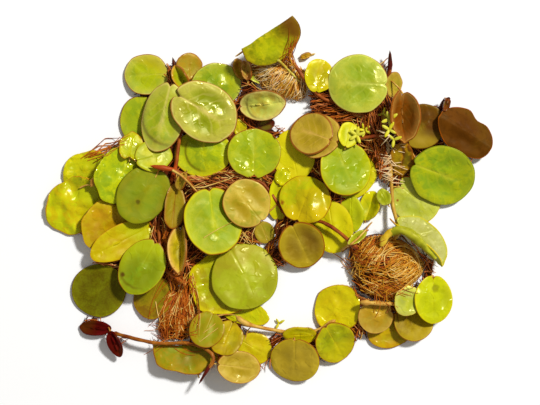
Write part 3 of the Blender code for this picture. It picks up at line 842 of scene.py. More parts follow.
leaf("leaf_low_left_2", "fern jade lime", dict(mottling=0.6, blush=("lime", 100, 0.7),
     spot=("bark", (-36.2, -18.5), 0.9), hollow=("fern", 0.5)), pillow=1.4, swell=((-0.05, 0.0), 0.8, 0.2))
leaf("leaf_low_left_1", "deep_olive fern moss umber", dict(mottling=0.25, shine=0.2,
     hollow=("deep_olive", 0.4)), hollow=0.2, dimple=0.5)
leaf("leaf_left_1", "moss fern fern deep_olive", dict(rim_strength=0.35, mottling=0.8, wet=0.25,
     spot=("deep_olive", (-32.4, -0.6), 0.8), hollow=("jade", 0.4)), hollow=0.4, dimple=0.8)
leaf("leaf_left_2", "grass jade yellow", dict(rim_width=0.12, midrib=0.3, mottling=0.5, wet=0.15, shine=0.2,
     hollow=("fern", 0.35)), hollow=0.8, dimple=1.4, puddles=((-13.3, -8.9, 1.2),))
leaf("leaf_centre_4", "straw moss peach", dict(mottling=0.9, wet=0.3, hollow=("olive", 0.9)))
leaf("leaf_middle_low_3", "olive gold peach", dict(rim_width=0.22, rim_strength=0.9))
leaf("leaf_middle_low_2", "grass moss sage moss", dict(midrib=0.5, mottling=0.6, blush=("khaki", 100, 0.5),
     hollow=("sage", 0.4)), hollow=0.8, dimple=1.3)
leaf("leaf_middle_low_1", "olive lime yellow", dict(rim_width=0.2, rim_strength=0.9, wet=1.0), wave=0.5,
     lobes=0.04, dimple=1.8, bulges=((230, 0.04), (265, -0.03)),
     puddles=((-13.8, -26.9, 2.2), (-9.8, -28.1, 1.8), (-16.8, -24.4, 1.8)))
leaf("leaf_bottom_left_1", "olive fern amber rust", dict(mottling=0.9, hollow=("deep_olive", 0.4)),
     wave=0.35, lobes=0.05, dimple=1.6)
leaf("leaf_bottom_left_2", "moss olive olive", dict(wet=0.3))
leaf("leaf_bottom_left_3", "khaki straw peach", dict(rim_width=0.14, midrib=0.3, hollow=("olive", 0.5)))
leaf("leaf_bottom_1", "yellow gold gold amber", dict(hollow=("gold", 0.2)))
leaf("leaf_bottom_2", "yellow gold yellow amber", dict(mottling=0.5, wet=1.0, hollow=("gold", 0.2)),
     bulges=((45, 0.05), (135, 0.05), (225, 0.05), (315, 0.05)), wave=0.3, dimple=2.0,
     puddles=((16.7, -25.1, 2.0), (18.9, -23.1, 1.6)))
leaf("leaf_bottom_3", "moss lime gold", dict(midrib=0.35, wet=0.6, blush=("gold", -60, 0.4)), wave=0.2,
     puddles=((17.2, -32.9, 1.5),))
leaf("leaf_bottom_4", "straw khaki gold", dict(mottling=0.6, blush=("olive", 120, 0.3),
     hollow=("olive", 0.3)))
leaf("leaf_centre_1", "yellow yellow yellow gold", dict(mottling=0.3, hollow=("spring", 0.3)))
leaf("leaf_centre_2", "yellow yellow yellow gold", dict(mottling=0.3, wet=0.5, hollow=("spring", 0.3)))
leaf("leaf_centre_5", "lime gold gold rust", dict(wet=1.0, blush=("gold", -75, 0.9),
     spot=("rust", (3.2, -0.6), 0.9), hollow=("moss", 0.3)), dimple=1.8, wave=0.15,
     puddles=((12.6, -1.2, 3.2), (13.2, -4.2, 2.2), (12.6, 1.8, 2.0), (5.9, -1.9, 1.6), (8.2, -0.4, 1.3)))
leaf("leaf_centre_6", "straw olive gold rust", dict(midrib=0.05, mottling=0.7, rim_width=0.1,
     edge_width=0.02, blush=("umber", 25, 0.5), hollow=("umber", 0.4)))
leaf("leaf_centre_7", "grass jade yellow", dict(mottling=0.5, wet=0.5, blush=("grass", 40, 0.4), shine=0.3,
     hollow=("jade", 0.4)), hollow=1.2)
leaf("leaf_centre_8", "straw khaki peach rust", dict(midrib=0.6, mottling=0.8, rim_width=0.1,
     edge_width=0.035, hollow=("olive", 0.7)), hollow=1.4)
leaf("leaf_top_2", "fern yellow olive umber", dict(mottling=0.6, shine=0.3, blush=("umber", 46, 1.0),
     hollow=("lime", 0.7)), bulges=((38, -0.15), (215, -0.05)), dimple=0.8)
leaf("leaf_top_3", "sage jade mint", dict(rim_width=0.1, rim_strength=0.8, mottling=0.45, midrib=0.45,
     wet=0.35, hollow=("jade", 0.5)), puddles=((25.7, 26.9, 1.0),))
leaf("leaf_right_1", "mint lime mint gold", dict(mottling=0.6, wet=0.6, spot=("rust", (32.0, -0.2), 0.5),
     hollow=("jade", 0.3)))
leaf("leaf_right_2", "umber bark olive umber", dict(blush=("khaki", 235, 0.75), rim_strength=0.3, wet=0.3,
     shine=0.2, hollow=("bark", 0.4)))
leaf("leaf_right_3", "rust umber peach rust", dict(rim_width=0.05, shine=0.12, blush=("rust", 200, 0.9),
     hollow=("bark", 0.5)))
leaf("leaf_right_4", "bark umber umber rust", dict(rim_strength=0.3, shine=0.08, mottling=0.7, wet=0.0,
     hollow=("bark", 0.6)), bulges=((78, 0.14), (10, 0.12), (300, 0.08), (45, -0.12), (150, 0.05)),
     dimple=1.6, notch=0.9)
leaf("leaf_right_5", "lime jade sage fern", dict(midrib=0.7, mottling=0.8, wet=0.4, blush=("fern", 10, 0.4),
     hollow=("jade", 0.6)))
leaf("leaf_right_6", "grey_green moss lime gold", dict(midrib=0.2, mottling=0.5, blush=("grass", 205, 0.9),
     shine=0.3, hollow=("sage", 0.3)))
leaf("leaf_low_right_1", "gold amber amber rust", dict(wet=0.6))
leaf("leaf_low_right_2", "olive umber straw rust", dict(wet=0.3, mottling=0.5, shine=0.15,
     blush=("gold", -60, 0.4), hollow=("olive", 0.5)))
leaf("leaf_low_right_3", "straw amber peach rust", dict(mottling=0.6, wet=0.9, blush=("umber", -110, 0.3),
     hollow=("olive", 0.3)), puddles=((27.2, -28.1, 1.8),))
leaf("leaf_low_right_4", "lime spring yellow gold", dict(mottling=0.6, wet=0.8,
     spot=("moss", (41.0, -22.0), 1.4), hollow=("lime", 0.4)), notch=0.2,
     puddles=((37.4, -22.6, 1.8), (35.7, -25.6, 1.4)))
leaf("red_leaf_1", "maroon wine maroon maroon", dict(rim_strength=0.3, wet=0.3, shine=0.08,
     hollow=("maroon", 0.3)))
leaf("red_leaf_2", "maroon wine maroon maroon", dict(rim_strength=0.3, wet=0.3, shine=0.08,
     hollow=("maroon", 0.3)))

# Small leaves
# Young leaves, decaying ones and the lower leaves of doubled pairs. They are blades of the same kind, of the
# size at which they grew, and each lies on the pile or is tucked under the leaves named with it.
REST_GAP = 0.06 * MM
STEEPEST_REST = 0.35
REST_STEP = 0.05
TILT_COST = 0.3 * MM
LOBE_ANGLES = (0.0, 9.0, 26.0, 180.0)
NOTCH_RIM = 0.24
NOTCH_RING = 0.10
UNEVEN_CUP = 0.4
SMALL_PILLOW = 0.6
SMALL_HOLLOW = 0.5
MOST_LOBES = 0.04

solids = {node: surface_of(merged_copy(node)) for node in frame["nodes"]}


def height_below(x, y, beneath):
    """Height of the pile at a point in plan, without the pieces that lie over it."""
    tops = [height_on(solid, x, y) for node, solid in solids.items() if node not in beneath]
    return max([0.0, *(top for top in tops if top is not None)])


def blade_outline(size, cup, folds, ragged, seed):
    """Middle, ring and rim points of a blade in its own frame: notch at -X, tip at +X, metres."""
    rough = random.Random(seed)
    sides = BLADE_SIDES[0]
    step = 360.0 / sides
    loops = []
    for share, notch in ((RING_REACH, NOTCH_RING), (1.0, NOTCH_RIM)):
        loop = []
        for index in range(sides):
            turn = index * step
            from_notch = min(turn, 360.0 - turn)
            angle = math.radians(np.interp(from_notch, (0.0, step, 2 * step, 180.0), LOBE_ANGLES))
            side = -1 if turn < 180.0 else 1
            reach = share * (1 - notch if index == 0 else 1)
            rise = 0.0
            if share == 1.0:
                reach *= 1 + rough.uniform(-ragged, ragged)
                rise = cup * MM * (1 + rough.uniform(-UNEVEN_CUP, UNEVEN_CUP))
            x = -math.cos(angle) * reach * size[0] * MM / 2
            y = math.sin(angle) * reach * size[1] * MM / 2
            fold = math.radians(folds[0] if side > 0 else folds[1])
            loop.append((x, side * (y * math.cos(fold) - rise * math.sin(fold)),
                         y * math.sin(fold) + rise * math.cos(fold)))
        loops.append(np.array(loop))
    return np.array((0.0, 0.0, 0.0)), loops[0], loops[1]


def laid(outline, spot, heading, beneath):
    """The outline turned to its heading and let down onto the pile at the spot, in millimetres.

    It rests at the tilt at which it lies lowest.
    """
    heading = math.radians(heading)
    middle = Vector((spot[0] * MM, spot[1] * MM, 0.0))
    points = np.vstack((outline[0][None], outline[1], outline[2]))

    def turned(slope_x, slope_y):
        normal = Vector((-slope_x, -slope_y, 1.0)).normalized()
        along = Vector((math.cos(heading), math.sin(heading), 0.0))
        along = (along - normal * along.dot(normal)).normalized()
        turn = np.array(Matrix((along, normal.cross(along), normal)).transposed())
        return points @ turn.T

    below = np.array([height_below(middle.x + x, middle.y + y, beneath) for x, y, _ in turned(0.0, 0.0)])

    def needed(slope_x, slope_y):
        return (below - turned(slope_x, slope_y)[:, 2]).max()

    marks = np.arange(-STEEPEST_REST, STEEPEST_REST + 1e-9, REST_STEP)
    slopes = min(((x, y) for x in marks for y in marks),
                 key=lambda pair: needed(*pair) + TILT_COST * (abs(pair[0]) + abs(pair[1])))
    rest = turned(*slopes)
    rest += (middle.x, middle.y, needed(*slopes) + BLADE_THICKNESS + REST_GAP)
    return rest[0], rest[1:1 + len(outline[1])], rest[1 + len(outline[1]):]


def small_leaf(word, spot, size, heading, tones, beneath="", look=None, cup=0.25, folds=(0, 0), ragged=0.03,
               wave=0.1, dimple=0.7, puddles=(), slot="leaf_lime"):
    """Makes one small leaf. beneath names the leaves, in short, and the other pieces that lie over it.

    spot and size are in millimetres. folds are the two halves' rises from the midrib, in degrees.
    """
    name = "small_leaf_" + word
    over = [other if other in solids else "leaf_" + other for other in beneath.split()]
    points = laid(blade_outline(size, cup, folds, ragged, name), spot, heading, over)
    mesh = leaf_piece(name, points, tones, look or {}, slot, pillow=SMALL_PILLOW, hollow=SMALL_HOLLOW,
                      dimple=dimple, wave=wave, lobes=min(ragged, MOST_LOBES), puddles=puddles)
    solids[name] = surface_of(gathered([mesh]))
    blades[name] = points


# This leaf's dark olive and umber tones are partly painted shade, as it lies under leaf_low_left_2.
small_leaf("shaded", (-29.0, -24.3), (10.8, 9.6), 250, "olive umber olive", "low_left_2", dict(wet=0.3),
           slot="leaf_olive")
small_leaf("brown_top", (-19.9, 33.0), (6.9, 6.8), 95, "khaki amber rust rust", "top_left_5 top_left_6",
           dict(rim_width=0.1), slot="leaf_brown")
small_leaf("folded_top", (-21.8, 30.4), (6.6, 5.6), 118, "lime moss amber", "top_left_6",
           dict(rim_width=0.24, rim_strength=1.0), folds=(42, 58))
small_leaf("under_pair_right", (12.0, 15.8), (11.8, 11.6), 156, "khaki straw peach", "centre_8",
           slot="leaf_tan")
small_leaf("under_green", (20.2, 6.8), (13.0, 13.0), -60, "yellow lime yellow gold", "centre_7")
small_leaf("yellow_middle", (19.6, 16.0), (6.4, 5.6), 70, "yellow spring yellow gold", "centre_8 centre_7")
small_leaf("yellow_top", (12.2, 30.6), (8.4, 7.4), 80, "yellow gold yellow gold", "top_3", dict(wet=0.8))
small_leaf("tan_top", (31.0, 28.6), (6.4, 4.4), 88, "straw khaki peach rust", "top_3 right_3",
           slot="leaf_tan")
small_leaf("decayed", (33.0, 10.0), (9.2, 5.8), 85, "amber umber rust rust", "right_5 right_3 runner_right",
           dict(mottling=1.0, wet=0.7), ragged=0.12, slot="leaf_brown")
small_leaf("bright_right", (25.2, -1.6), (7.6, 5.6), 75, "spring yellow yellow gold", "", dict(wet=0.8),
           folds=(10, 45))
small_leaf("green_right", (28.4, 0.6), (4.6, 3.4), 120, "lime grass mint", "right_1", slot="leaf_green")
small_leaf("green_middle", (20.4, -3.8), (9.0, 6.4), 270, "spring lime lime moss", "centre_2")
small_leaf("wet_strip", (3.0, 1.0), (12.6, 6.4), 80, "yellow spring yellow gold",
           "centre_4 centre_5 centre_3 runner_middle", dict(wet=1.0), folds=(12, 0),
           puddles=((2.9, 0.6, 1.8), (3.7, 3.9, 1.5)))
small_leaf("tan_middle", (-1.2, -8.2), (5.6, 5.0), 110, "khaki moss straw", "middle_low_2 centre_4",
           slot="leaf_tan")
small_leaf("narrow_left", (-23.6, -1.8), (11.4, 5.6), 262, "khaki olive rust", "left_2", dict(rim_width=0.1,
           midrib=0.5), folds=(16, 16), slot="leaf_olive")
small_leaf("olive_bottom", (-10.6, -34.2), (9.0, 8.2), 250, "gold olive olive",
           "bottom_left_2 middle_low_1", slot="leaf_olive")
small_leaf("wet_below", (-7.0, -27.4), (14.0, 7.0), 340, "spring yellow yellow gold",
           "middle_low_2 middle_low_1 middle_low_3 bottom_left_2 small_leaf_olive_bottom root_tuft_left "
           "runner_bottom", dict(rim_width=0.14, wet=1.0), wave=0.3, dimple=2.0, ragged=0.06,
           puddles=((-7.4, -29.0, 1.8), (-4.4, -30.4, 1.4)))
small_leaf("golden_bottom", (7.6, -33.6), (8.6, 4.6), 184, "gold yellow gold amber", "bottom_4 bottom_3",
           dict(wet=0.8), slot="leaf_gold")
small_leaf("behind_right", (34.0, -25.0), (7.6, 6.6), 250, "mint spring cream gold", "low_right_4",
           dict(wet=0.7))
small_leaf("ragged_left", (-34.2, 13.2), (7.0, 6.0), 80, "lime spring amber rust", "top_left_4 top_left_1",
           dict(rim_width=0.08, rim_strength=0.6, wet=0.5), ragged=0.1, wave=0.3,
           puddles=((-34.8, 13.6, 1.4),))
small_leaf("wet_left", (-46.6, 3.4), (10.0, 10.6), 20, "yellow lime yellow yellow",
           "far_left_1 far_left_2 far_left_5 left_1", dict(rim_strength=0.2, mottling=0.9, wet=1.0),
           cup=0.0, wave=0.1, dimple=1.4, puddles=((-45.3, 4.4, 2.0), (-47.3, 2.4, 1.6)))
small_leaf("wet_left_low", (-42.2, -3.6), (9.0, 8.0), 70, "gold amber gold gold",
           "far_left_2 far_left_3 left_1 far_left_4 small_leaf_wet_left", dict(mottling=0.9, wet=0.5))
small_leaf("under_left", (-34.6, 10.4), (10.6, 7.6), 12, "lime moss yellow rust",
           "far_left_5 top_left_1 top_left_4 small_leaf_ragged_left left_1 runner_far_left",
           dict(mottling=0.9, wet=0.5), wave=0.3)
small_leaf("golden_top", (-7.4, 32.6), (5.4, 3.4), 108, "amber rust peach rust", "top_2", folds=(30, 44),
           slot="leaf_brown")
small_leaf("pale_strip", (-3.6, 30.4), (5.8, 2.6), 156, "mint lime mint rust", "top_2 root_tuft_top",
           dict(wet=0.8), folds=(24, 10))
small_leaf("maroon_middle", (-0.9, 18.7), (4.4, 3.6), 20, "maroon umber maroon maroon",
           "top_1 centre_3 centre_1", slot="leaf_crimson")
small_leaf("wet_yellow", (3.4, 5.8), (4.6, 4.0), 60, "yellow spring yellow gold",
           "centre_3 centre_1 centre_5", dict(wet=1.0), wave=0.25, dimple=2.0)
small_leaf("bit_right", (21.6, -9.4), (6.2, 2.6), 216, "lime moss mint rust", "centre_2", dict(wet=0.6),
           folds=(30, 20))
small_leaf("red_tip", (43.7, 23.4), (3.8, 1.8), 250, "maroon rust maroon maroon", folds=(30, 30),
           slot="leaf_crimson")
small_leaf("brown_curl", (9.0, 35.8), (2.8, 1.8), 200, "amber straw peach rust", "top_2", folds=(40, 40),
           slot="leaf_brown")
small_leaf("green_left", (-28.6, 10.8), (9.6, 8.0), 20, "lime grass lime olive",
           "top_left_4 left_1 top_left_2 runner_middle runner_left runner_far_left far_left_5",
           dict(wet=0.3, hollow=("yellow", 0.4)), slot="leaf_green")
small_leaf("yellow_scrap", (-7.4, 17.8), (4.2, 3.2), 100, "yellow gold yellow gold",
           "top_left_6 centre_3 top_1", ragged=0.12)
small_leaf("pink_curl", (-5.6, 32.0), (5.0, 3.6), 100, "peach rust rust", "top_2", folds=(40, 50),
           slot="leaf_brown")
small_leaf("tan_left", (-21.6, 4.6), (5.2, 2.8), 240, "straw amber peach rust", "top_left_2",
           folds=(30, 30), slot="leaf_tan")

# Rolled rim
# One edge of the pale leaf over the root ball has rolled up into a soft green tube. It runs along the leaf's
# fold and ends, yellow, on the ball.
ROLL = ((27.6, -11.6, 5.0, 0.45), (27.7, -10.6, 5.3, 0.85), (28.4, -9.2, 5.8, 0.90),
        (30.0, -7.8, 6.5, 1.00), (32.6, -7.3, 7.1, 1.15), (35.2, -8.8, 7.25, 1.20),
        (37.2, -10.8, 7.0, 1.10), (39.1, -12.8, 6.6, 0.75), (40.9, -14.5, 6.1, 0.40))
ROLL_YELLOW_TO = 29.9 * MM
ROLL_LUMP = 0.30 * MM
ROLL_LUMP_SCALE = 520.0
ROLL_SEED = 11

roll = round_curve("roll", 3)
spline = roll.splines.new("NURBS")
spline.points.add(len(ROLL) - 1)
for point, (x, y, z, radius) in zip(spline.points, ROLL):
    point.co = (x * MM, y * MM, z * MM, 1.0)
    point.radius = radius * MM
spline.order_u = 3
spline.use_endpoint_u = True
spline.resolution_u = 5
rolled = mesh_of(roll)
noise.seed_set(ROLL_SEED)
for vert in rolled.vertices:
    vert.co += noise.noise_vector(vert.co * ROLL_LUMP_SCALE) * ROLL_LUMP
roll_green = root_paint("roll_green_paint", (0.46, 0.45, 0.016), (0.26, 0.26, 0.004))
roll_yellow = root_paint("roll_yellow_paint", (0.92, 0.66, 0.05), (0.74, 0.44, 0.01))
new_piece("rolled_rim_right", rolled, [roll_green, roll_yellow])
for face in rolled.polygons:
    face.use_smooth = True
    face.material_index = 1 if face.center.x < ROLL_YELLOW_TO else 0

# Sprigs
# Tiny free-floating plants of two to four bright fronds, caught on the mat between the larger leaves. Each
# frond is a plump little oval, and the fronds of one sprig meet at its middle.
FROND_SEGMENTS = 10
FROND_RINGS = 6
FROND_OUT = 0.46
FROND_WIDTH = 0.38
FROND_HEIGHT = 0.40 * MM
FROND_LENGTHS = (0.75, 1.0)
FROND_TILT = math.radians(-9)
SPRIG_REACH = 0.6
SPRIG_RAISE = 0.35 * MM
SPRIG_TOP = 8.0 * MM
SPRIGS = (((21.6, 15.9), 2.5, (15, 80, 150, 215, 290)), ((23.7, 17.2), 2.3, (40, 110, 175, 250, 330)),
          ((22.4, 18.8), 2.0, (70, 190, 310)), ((29.2, 17.0), 2.5, (60, 150, 240, 330)),
          ((29.4, 19.6), 2.6, (35, 110, 200, 280)), ((28.4, 21.4), 2.2, (80, 200, 320)),
          ((30.4, 14.6), 2.2, (20, 140, 260)), ((2.4, -30.9), 1.9, (30, 120, 240)))

sprig_paint = leaf_paint("sprig_paint", blades["leaf_centre_7"], "yellow mint yellow spring", wet=0.3,
                         mottling=0.5, hollow=("yellow", 0.0))
bm = bmesh.new()
flat = bm.loops.layers.uv.new("blade")
for (x, y), length, headings in SPRIGS:
    around = [(x * MM, y * MM)]
    for heading in map(math.radians, headings):
        around.append((around[0][0] + SPRIG_REACH * length * MM * math.cos(heading),
                       around[0][1] + SPRIG_REACH * length * MM * math.sin(heading)))
    foot = min(max(height_below(*spot, ()) for spot in around), SPRIG_TOP)
    for heading in headings:
        frond = bmesh.ops.create_uvsphere(bm, u_segments=FROND_SEGMENTS, v_segments=FROND_RINGS, radius=0.5)
        long = length * MM * chance.uniform(*FROND_LENGTHS)
        turn = Matrix.Rotation(math.radians(heading), 4, "Z") @ Matrix.Rotation(FROND_TILT, 4, "Y")
        bmesh.ops.translate(bm, verts=frond["verts"], vec=(FROND_OUT, 0.0, 0.0))
        bmesh.ops.scale(bm, verts=frond["verts"], vec=(long, long * FROND_WIDTH, FROND_HEIGHT))
        bmesh.ops.transform(bm, verts=frond["verts"], matrix=turn)
        bmesh.ops.translate(bm, verts=frond["verts"], vec=(x * MM, y * MM, foot + SPRIG_RAISE))
for face in bm.faces:
    for loop in face.loops:
        loop[flat].uv = (0.5, 0.5)
new_piece("sprigs", finished(bm, "sprigs"), [sprig_paint])

# Runners
# Fleshy stems about a millimetre thick that tie the plants together. They are tan where old and red-brown
# where young, slightly swollen at the joints, and some end in a furled dark red leaf.
RUNNER_SHRINK = 0.12 * MM
RUNNER_LUMP = 0.12 * MM
RUNNER_LUMP_SCALE = 420.0
BUDS = ((-24.0, 34.6, 1, True), (29.6, 35.4, 1, True), (43.2, 25.4, 1, True), (-17.0, -43.6, 1, True),
        (-28.4, 8.2, 2, True), (-26.4, 7.8, 2, False))
BUD_REACH = 3.6 * MM
BUD_POINT = 0.85
BUD_TAPER = 1.6

runner_tan = root_paint("runner_tan_paint", (0.66, 0.40, 0.07), (0.46, 0.17, 0.015))
runner_red = root_paint("runner_red_paint", (0.40, 0.10, 0.010), (0.18, 0.022, 0.003))
runner_brown = root_paint("runner_brown_paint", (0.38, 0.13, 0.010), (0.20, 0.035, 0.003))
runner_gold = root_paint("runner_gold_paint", (0.60, 0.38, 0.045), (0.42, 0.20, 0.02))
bud_red = root_paint("bud_paint", (0.10, 0.002, 0.002), (0.04, 0.001, 0.001))
bud_orange = root_paint("bud_orange_paint", (0.50, 0.075, 0.006), (0.30, 0.03, 0.003))


def pointed(bm, spot):
    """Draws the stem out to a point where it ends at the spot, as the furled leaf there does."""
    whole = np.array([vert.co[:] for vert in bm.verts])
    near = [vert for vert in bm.verts if math.dist(vert.co[:2], spot) < BUD_REACH]
    if not near:
        return
    points = np.array([vert.co[:] for vert in near])
    middle = points.mean(axis=0)
    axis = np.linalg.svd(points - middle)[2][0]
    if (middle - whole.mean(axis=0)) @ axis < 0:
        axis = -axis
    along = (points - middle) @ axis
    shares = (along - along.min()) / np.ptp(along)
    for vert, point, offset, share in zip(near, points, along, shares):
        line = middle + axis * offset
        vert.co = line + (point - line) * (1 - BUD_POINT * share**BUD_TAPER)


runner_points = []
for node in sorted(name for name in frame["nodes"] if name.startswith("runner_")):
    bm = merged_copy(node)
    bmesh.ops.subdivide_edges(bm, edges=bm.edges[:], cuts=1, smooth=1.0, use_grid_fill=True)
    bm.normal_update()
    for vert in bm.verts:
        vert.co += vert.normal * (RUNNER_LUMP * noise.noise(vert.co * RUNNER_LUMP_SCALE) - RUNNER_SHRINK)
        vert.co.z = max(vert.co.z, 0.0)
        runner_points.append(np.array(vert.co[:]))
    for x, y, _, ends in BUDS:
        if ends:
            pointed(bm, (x * MM, y * MM))
    for face in bm.faces:
        middle = face.calc_center_median()
        for x, y, paint, _ in BUDS:
            if math.dist(middle[:2], (x * MM, y * MM)) < BUD_REACH:
                face.material_index = paint
    paint = runner_red if NODE_SLOTS[node] == "runner_red" else runner_tan
    paint = {"runner_low_left": runner_brown, "runner_right": runner_gold}.get(node, paint)
    stem = finished(bm, node + "_stem")
    new_piece(node + "_stem", stem, [paint, bud_red, bud_orange], node)
runner_points = np.array(runner_points)

# Leaf stalks
# Each blade sits on a short pale stalk that leaves its notch. It joins the nearest runner where one is
# within reach, and is otherwise a stub that bends down into the pile.
STALK_RADIUS = 0.24 * MM
STALK_REACH = 7.0 * MM
STUB_LENGTH = 1.5 * MM
STUB_DROP = 0.9 * MM
STALK_SAG = 0.5 * MM
STALK_ROOT = (0.35, 0.2 * MM)
STALK_BOW = 0.35
STALK_POINTS = 7

stalk_paint = root_paint("stalk_paint", (0.72, 0.48, 0.10), (0.48, 0.17, 0.02))
stalks = []
for name, (middle, ring, rim) in blades.items():
    start = rim[0] + (ring[0] - rim[0]) * STALK_ROOT[0] - (0.0, 0.0, STALK_ROOT[1])
    outward = rim[0] - middle
    outward /= np.linalg.norm(outward)
    gaps = np.linalg.norm(runner_points - rim[0], axis=1)
    end = runner_points[np.argmin(gaps)]
    if gaps.min() > STALK_REACH or (end - rim[0]).dot(outward) < 0:
        end = rim[0] + outward * STUB_LENGTH - (0.0, 0.0, STUB_DROP)
    end = np.array((end[0], end[1], max(end[2], STALK_RADIUS)))
    along = np.linspace(0.0, 1.0, STALK_POINTS)[:, None]
    path = start + (end - start) * along
    path += outward * (STALK_BOW * np.linalg.norm(end - start)) * along * (1 - along)
    path[:, 2] = np.maximum(path[:, 2] - (STALK_SAG * 4 * along * (1 - along))[:, 0], STALK_RADIUS)
    stalks.append((path, STALK_RADIUS, 0))
strand_piece("leaf_stalks", stalks, [stalk_paint])

# Fine roots under the leaves
# Every joint sends out a clump of fine water roots, dark red-brown when old and paler when young. A thin
# matted felt of them lies under the leaves, and loose ones run over it through the gaps. The felt is dark,
# partly as painted shade in the gaps, and outside the clumps the lower loose roots take darker paints,
# partly as painted shade under the leaves.
PLAN_CELL = 0.5 * MM
PLAN_HALF = (62 * MM, 52 * MM)
CLOSING = 7
BED_POINTS = 9
BED_RADIUS = 0.115 * MM
BED_GIRTHS = (0.7, 1.5)
BED_LENGTH = (4 * MM, 9 * MM)
BED_WANDER = 0.16
BED_BEND = 0.9
BED_STRAY = 0.5
BED_FEWEST_POINTS = 4
BED_HEIGHT = (0.3 * MM, 2.2 * MM)
MOSTLY_LOW = 1.5
CLUMP_RAISE = 1.3
CLUMP_STRAY = 0.25
BED_SHARE = 0.42
BED_FLOW_SCALE = 80.0
BED_FLOW = 5.0
BED_SHADE_BY_HEIGHT = ((0, 0, 0, 1), (0, 1, 1, 2), (1, 2, 3, 3, 4))
STEEPEST_ROOT = 1.6
MIDDLE_HALF = 14 * MM
BED_FELT = (0.35 * MM, 0.30 * MM, 700.0)
BED_FELT_WALL = 0.2 * MM
BED_FELT_GROWN = 2
EDGE_SMOOTHING = 6
SLOT_LEAST = 0.24 * MM
MOST_WALLS = 24
OPEN_SPOTS = (((4.7, 23.2), 5.5), ((-2.4, 33.4), 3.0), ((18.9, -18.6), 3.6), ((-37.8, -28.1), 4.0),
              ((-1.8, -30.4), 4.0), ((7.7, -29.6), 4.5), ((-41.6, 14.2), 3.0))
FILLED_SPOTS = (((-3.6, -8.4), 3.8), ((0.4, -12.0), 2.0), ((2.2, -7.4), 2.6))
CLUMPS = (((-11.3, 3.9), (10.0, 3.2), -6, 2.0, (0, 1, 3, 3, 4)),
          ((-23.6, -3.9), (1.8, 7.0), 82, 1.4, (0, 1, 1, 2, 3)),
          ((-24.8, -14.6), (2.4, 8.0), 84, 1.6, (1, 2, 2, 3)),
          ((-40.6, 12.4), (4.8, 3.2), 32, 1.6, (0, 1, 1, 2)),
          ((13.2, 21.9), (6.4, 5.0), 10, 1.5, (0, 1, 1, 3, 2)),
          ((28.4, 17.4), (5.0, 8.0), 98, 1.7, (0, 1, 2, 3)),
          ((20.7, -11.9), (3.8, 4.4), 40, 1.4, (1, 2, 3, 3)),
          ((1.9, -8.1), (4.0, 5.0), 60, 1.4, (0, 1, 2)),
          ((35.0, -10.6), (4.0, 5.5), -50, 3.0, (0, 1, 1, 2)))

pile = surface_of(gathered(solid.data for solid in frame["nodes"].values()))


def spread(grid, radius, grow):
    """The plan grid grown, or shrunk, by the radius in cells."""
    found = grid.copy()
    for shift_x in range(-radius, radius + 1):
        for shift_y in range(-radius, radius + 1):
            if shift_x**2 + shift_y**2 <= radius**2:
                moved = np.roll(grid, (shift_x, shift_y), (0, 1))
                found = found | moved if grow else found & moved
    return found


def plan_cell(x, y):
    return int((x + PLAN_HALF[0]) / PLAN_CELL), int((y + PLAN_HALF[1]) / PLAN_CELL)


def cell_middle(row, column):
    return (row + 0.5) * PLAN_CELL - PLAN_HALF[0], (column + 0.5) * PLAN_CELL - PLAN_HALF[1]


def in_spots(cell, spots):
    """Whether a cell of the plan lies in one of the round spots, given in millimetres."""
    x, y = cell_middle(*cell)
    return any(math.dist((x / MM, y / MM), centre) < radius for centre, radius in spots)


def under_small_leaf(cell):
    x, y = cell_middle(*cell)
    return any(height_on(solids[name], x, y) is not None for name in blades if name not in frame["nodes"])


covered = np.zeros([round(2 * half / PLAN_CELL) for half in PLAN_HALF], bool)
for cell in np.ndindex(covered.shape):
    covered[cell] = height_on(pile, *cell_middle(*cell)) is not None
within = spread(spread(covered, CLOSING, True), CLOSING + 1, False)
for cell in np.ndindex(covered.shape):
    if not covered[cell] and in_spots(cell, OPEN_SPOTS):
        within[cell] = False
    if in_spots(cell, FILLED_SPOTS):
        within[cell] = True
small_covered = np.zeros(covered.shape, bool)
for cell in map(tuple, np.argwhere(within & ~covered)):
    small_covered[cell] = under_small_leaf(cell)
gaps = np.argwhere(within & ~covered & ~small_covered)


def free_height(x, y, wanted):
    """The height nearest to the wanted one at which a root has room under the topmost solid there."""
    up = Vector((0.0, 0.0, 1.0))
    walls = []
    start = Vector((x, y, -0.001))
    while len(walls) < MOST_WALLS:
        hit = pile.ray_cast(start, up)[0]
        if hit is None:
            break
        walls.append(hit.z)
        start = hit + up * 1e-6
    floors = [0.0, *walls[1:-1:2]]
    roofs = walls[0::2] or [1.0]
    slots = [(low, high) for low, high in zip(floors, roofs) if high - low > SLOT_LEAST]
    middles = [min(max(wanted, low + SLOT_LEAST / 2), high - SLOT_LEAST / 2) for low, high in slots]
    return min(middles, key=lambda middle: abs(middle - wanted), default=None)


def half_root(x, y, height, heading, turn, reach):
    """The points of a root one way from a spot, until it has no room or would leave the mat."""
    path = []
    for _ in range(BED_POINTS // 2):
        x += math.cos(heading) * reach
        y += math.sin(heading) * reach
        heading += turn + chance.gauss(0.0, BED_WANDER)
        cell = plan_cell(x, y)
        if not within[cell] or small_covered[cell]:
            break
        free = free_height(x, y, height)
        if free is None or abs(free - height) > STEEPEST_ROOT * reach:
            break
        height = free
        path.append((x, y, height))
    return path


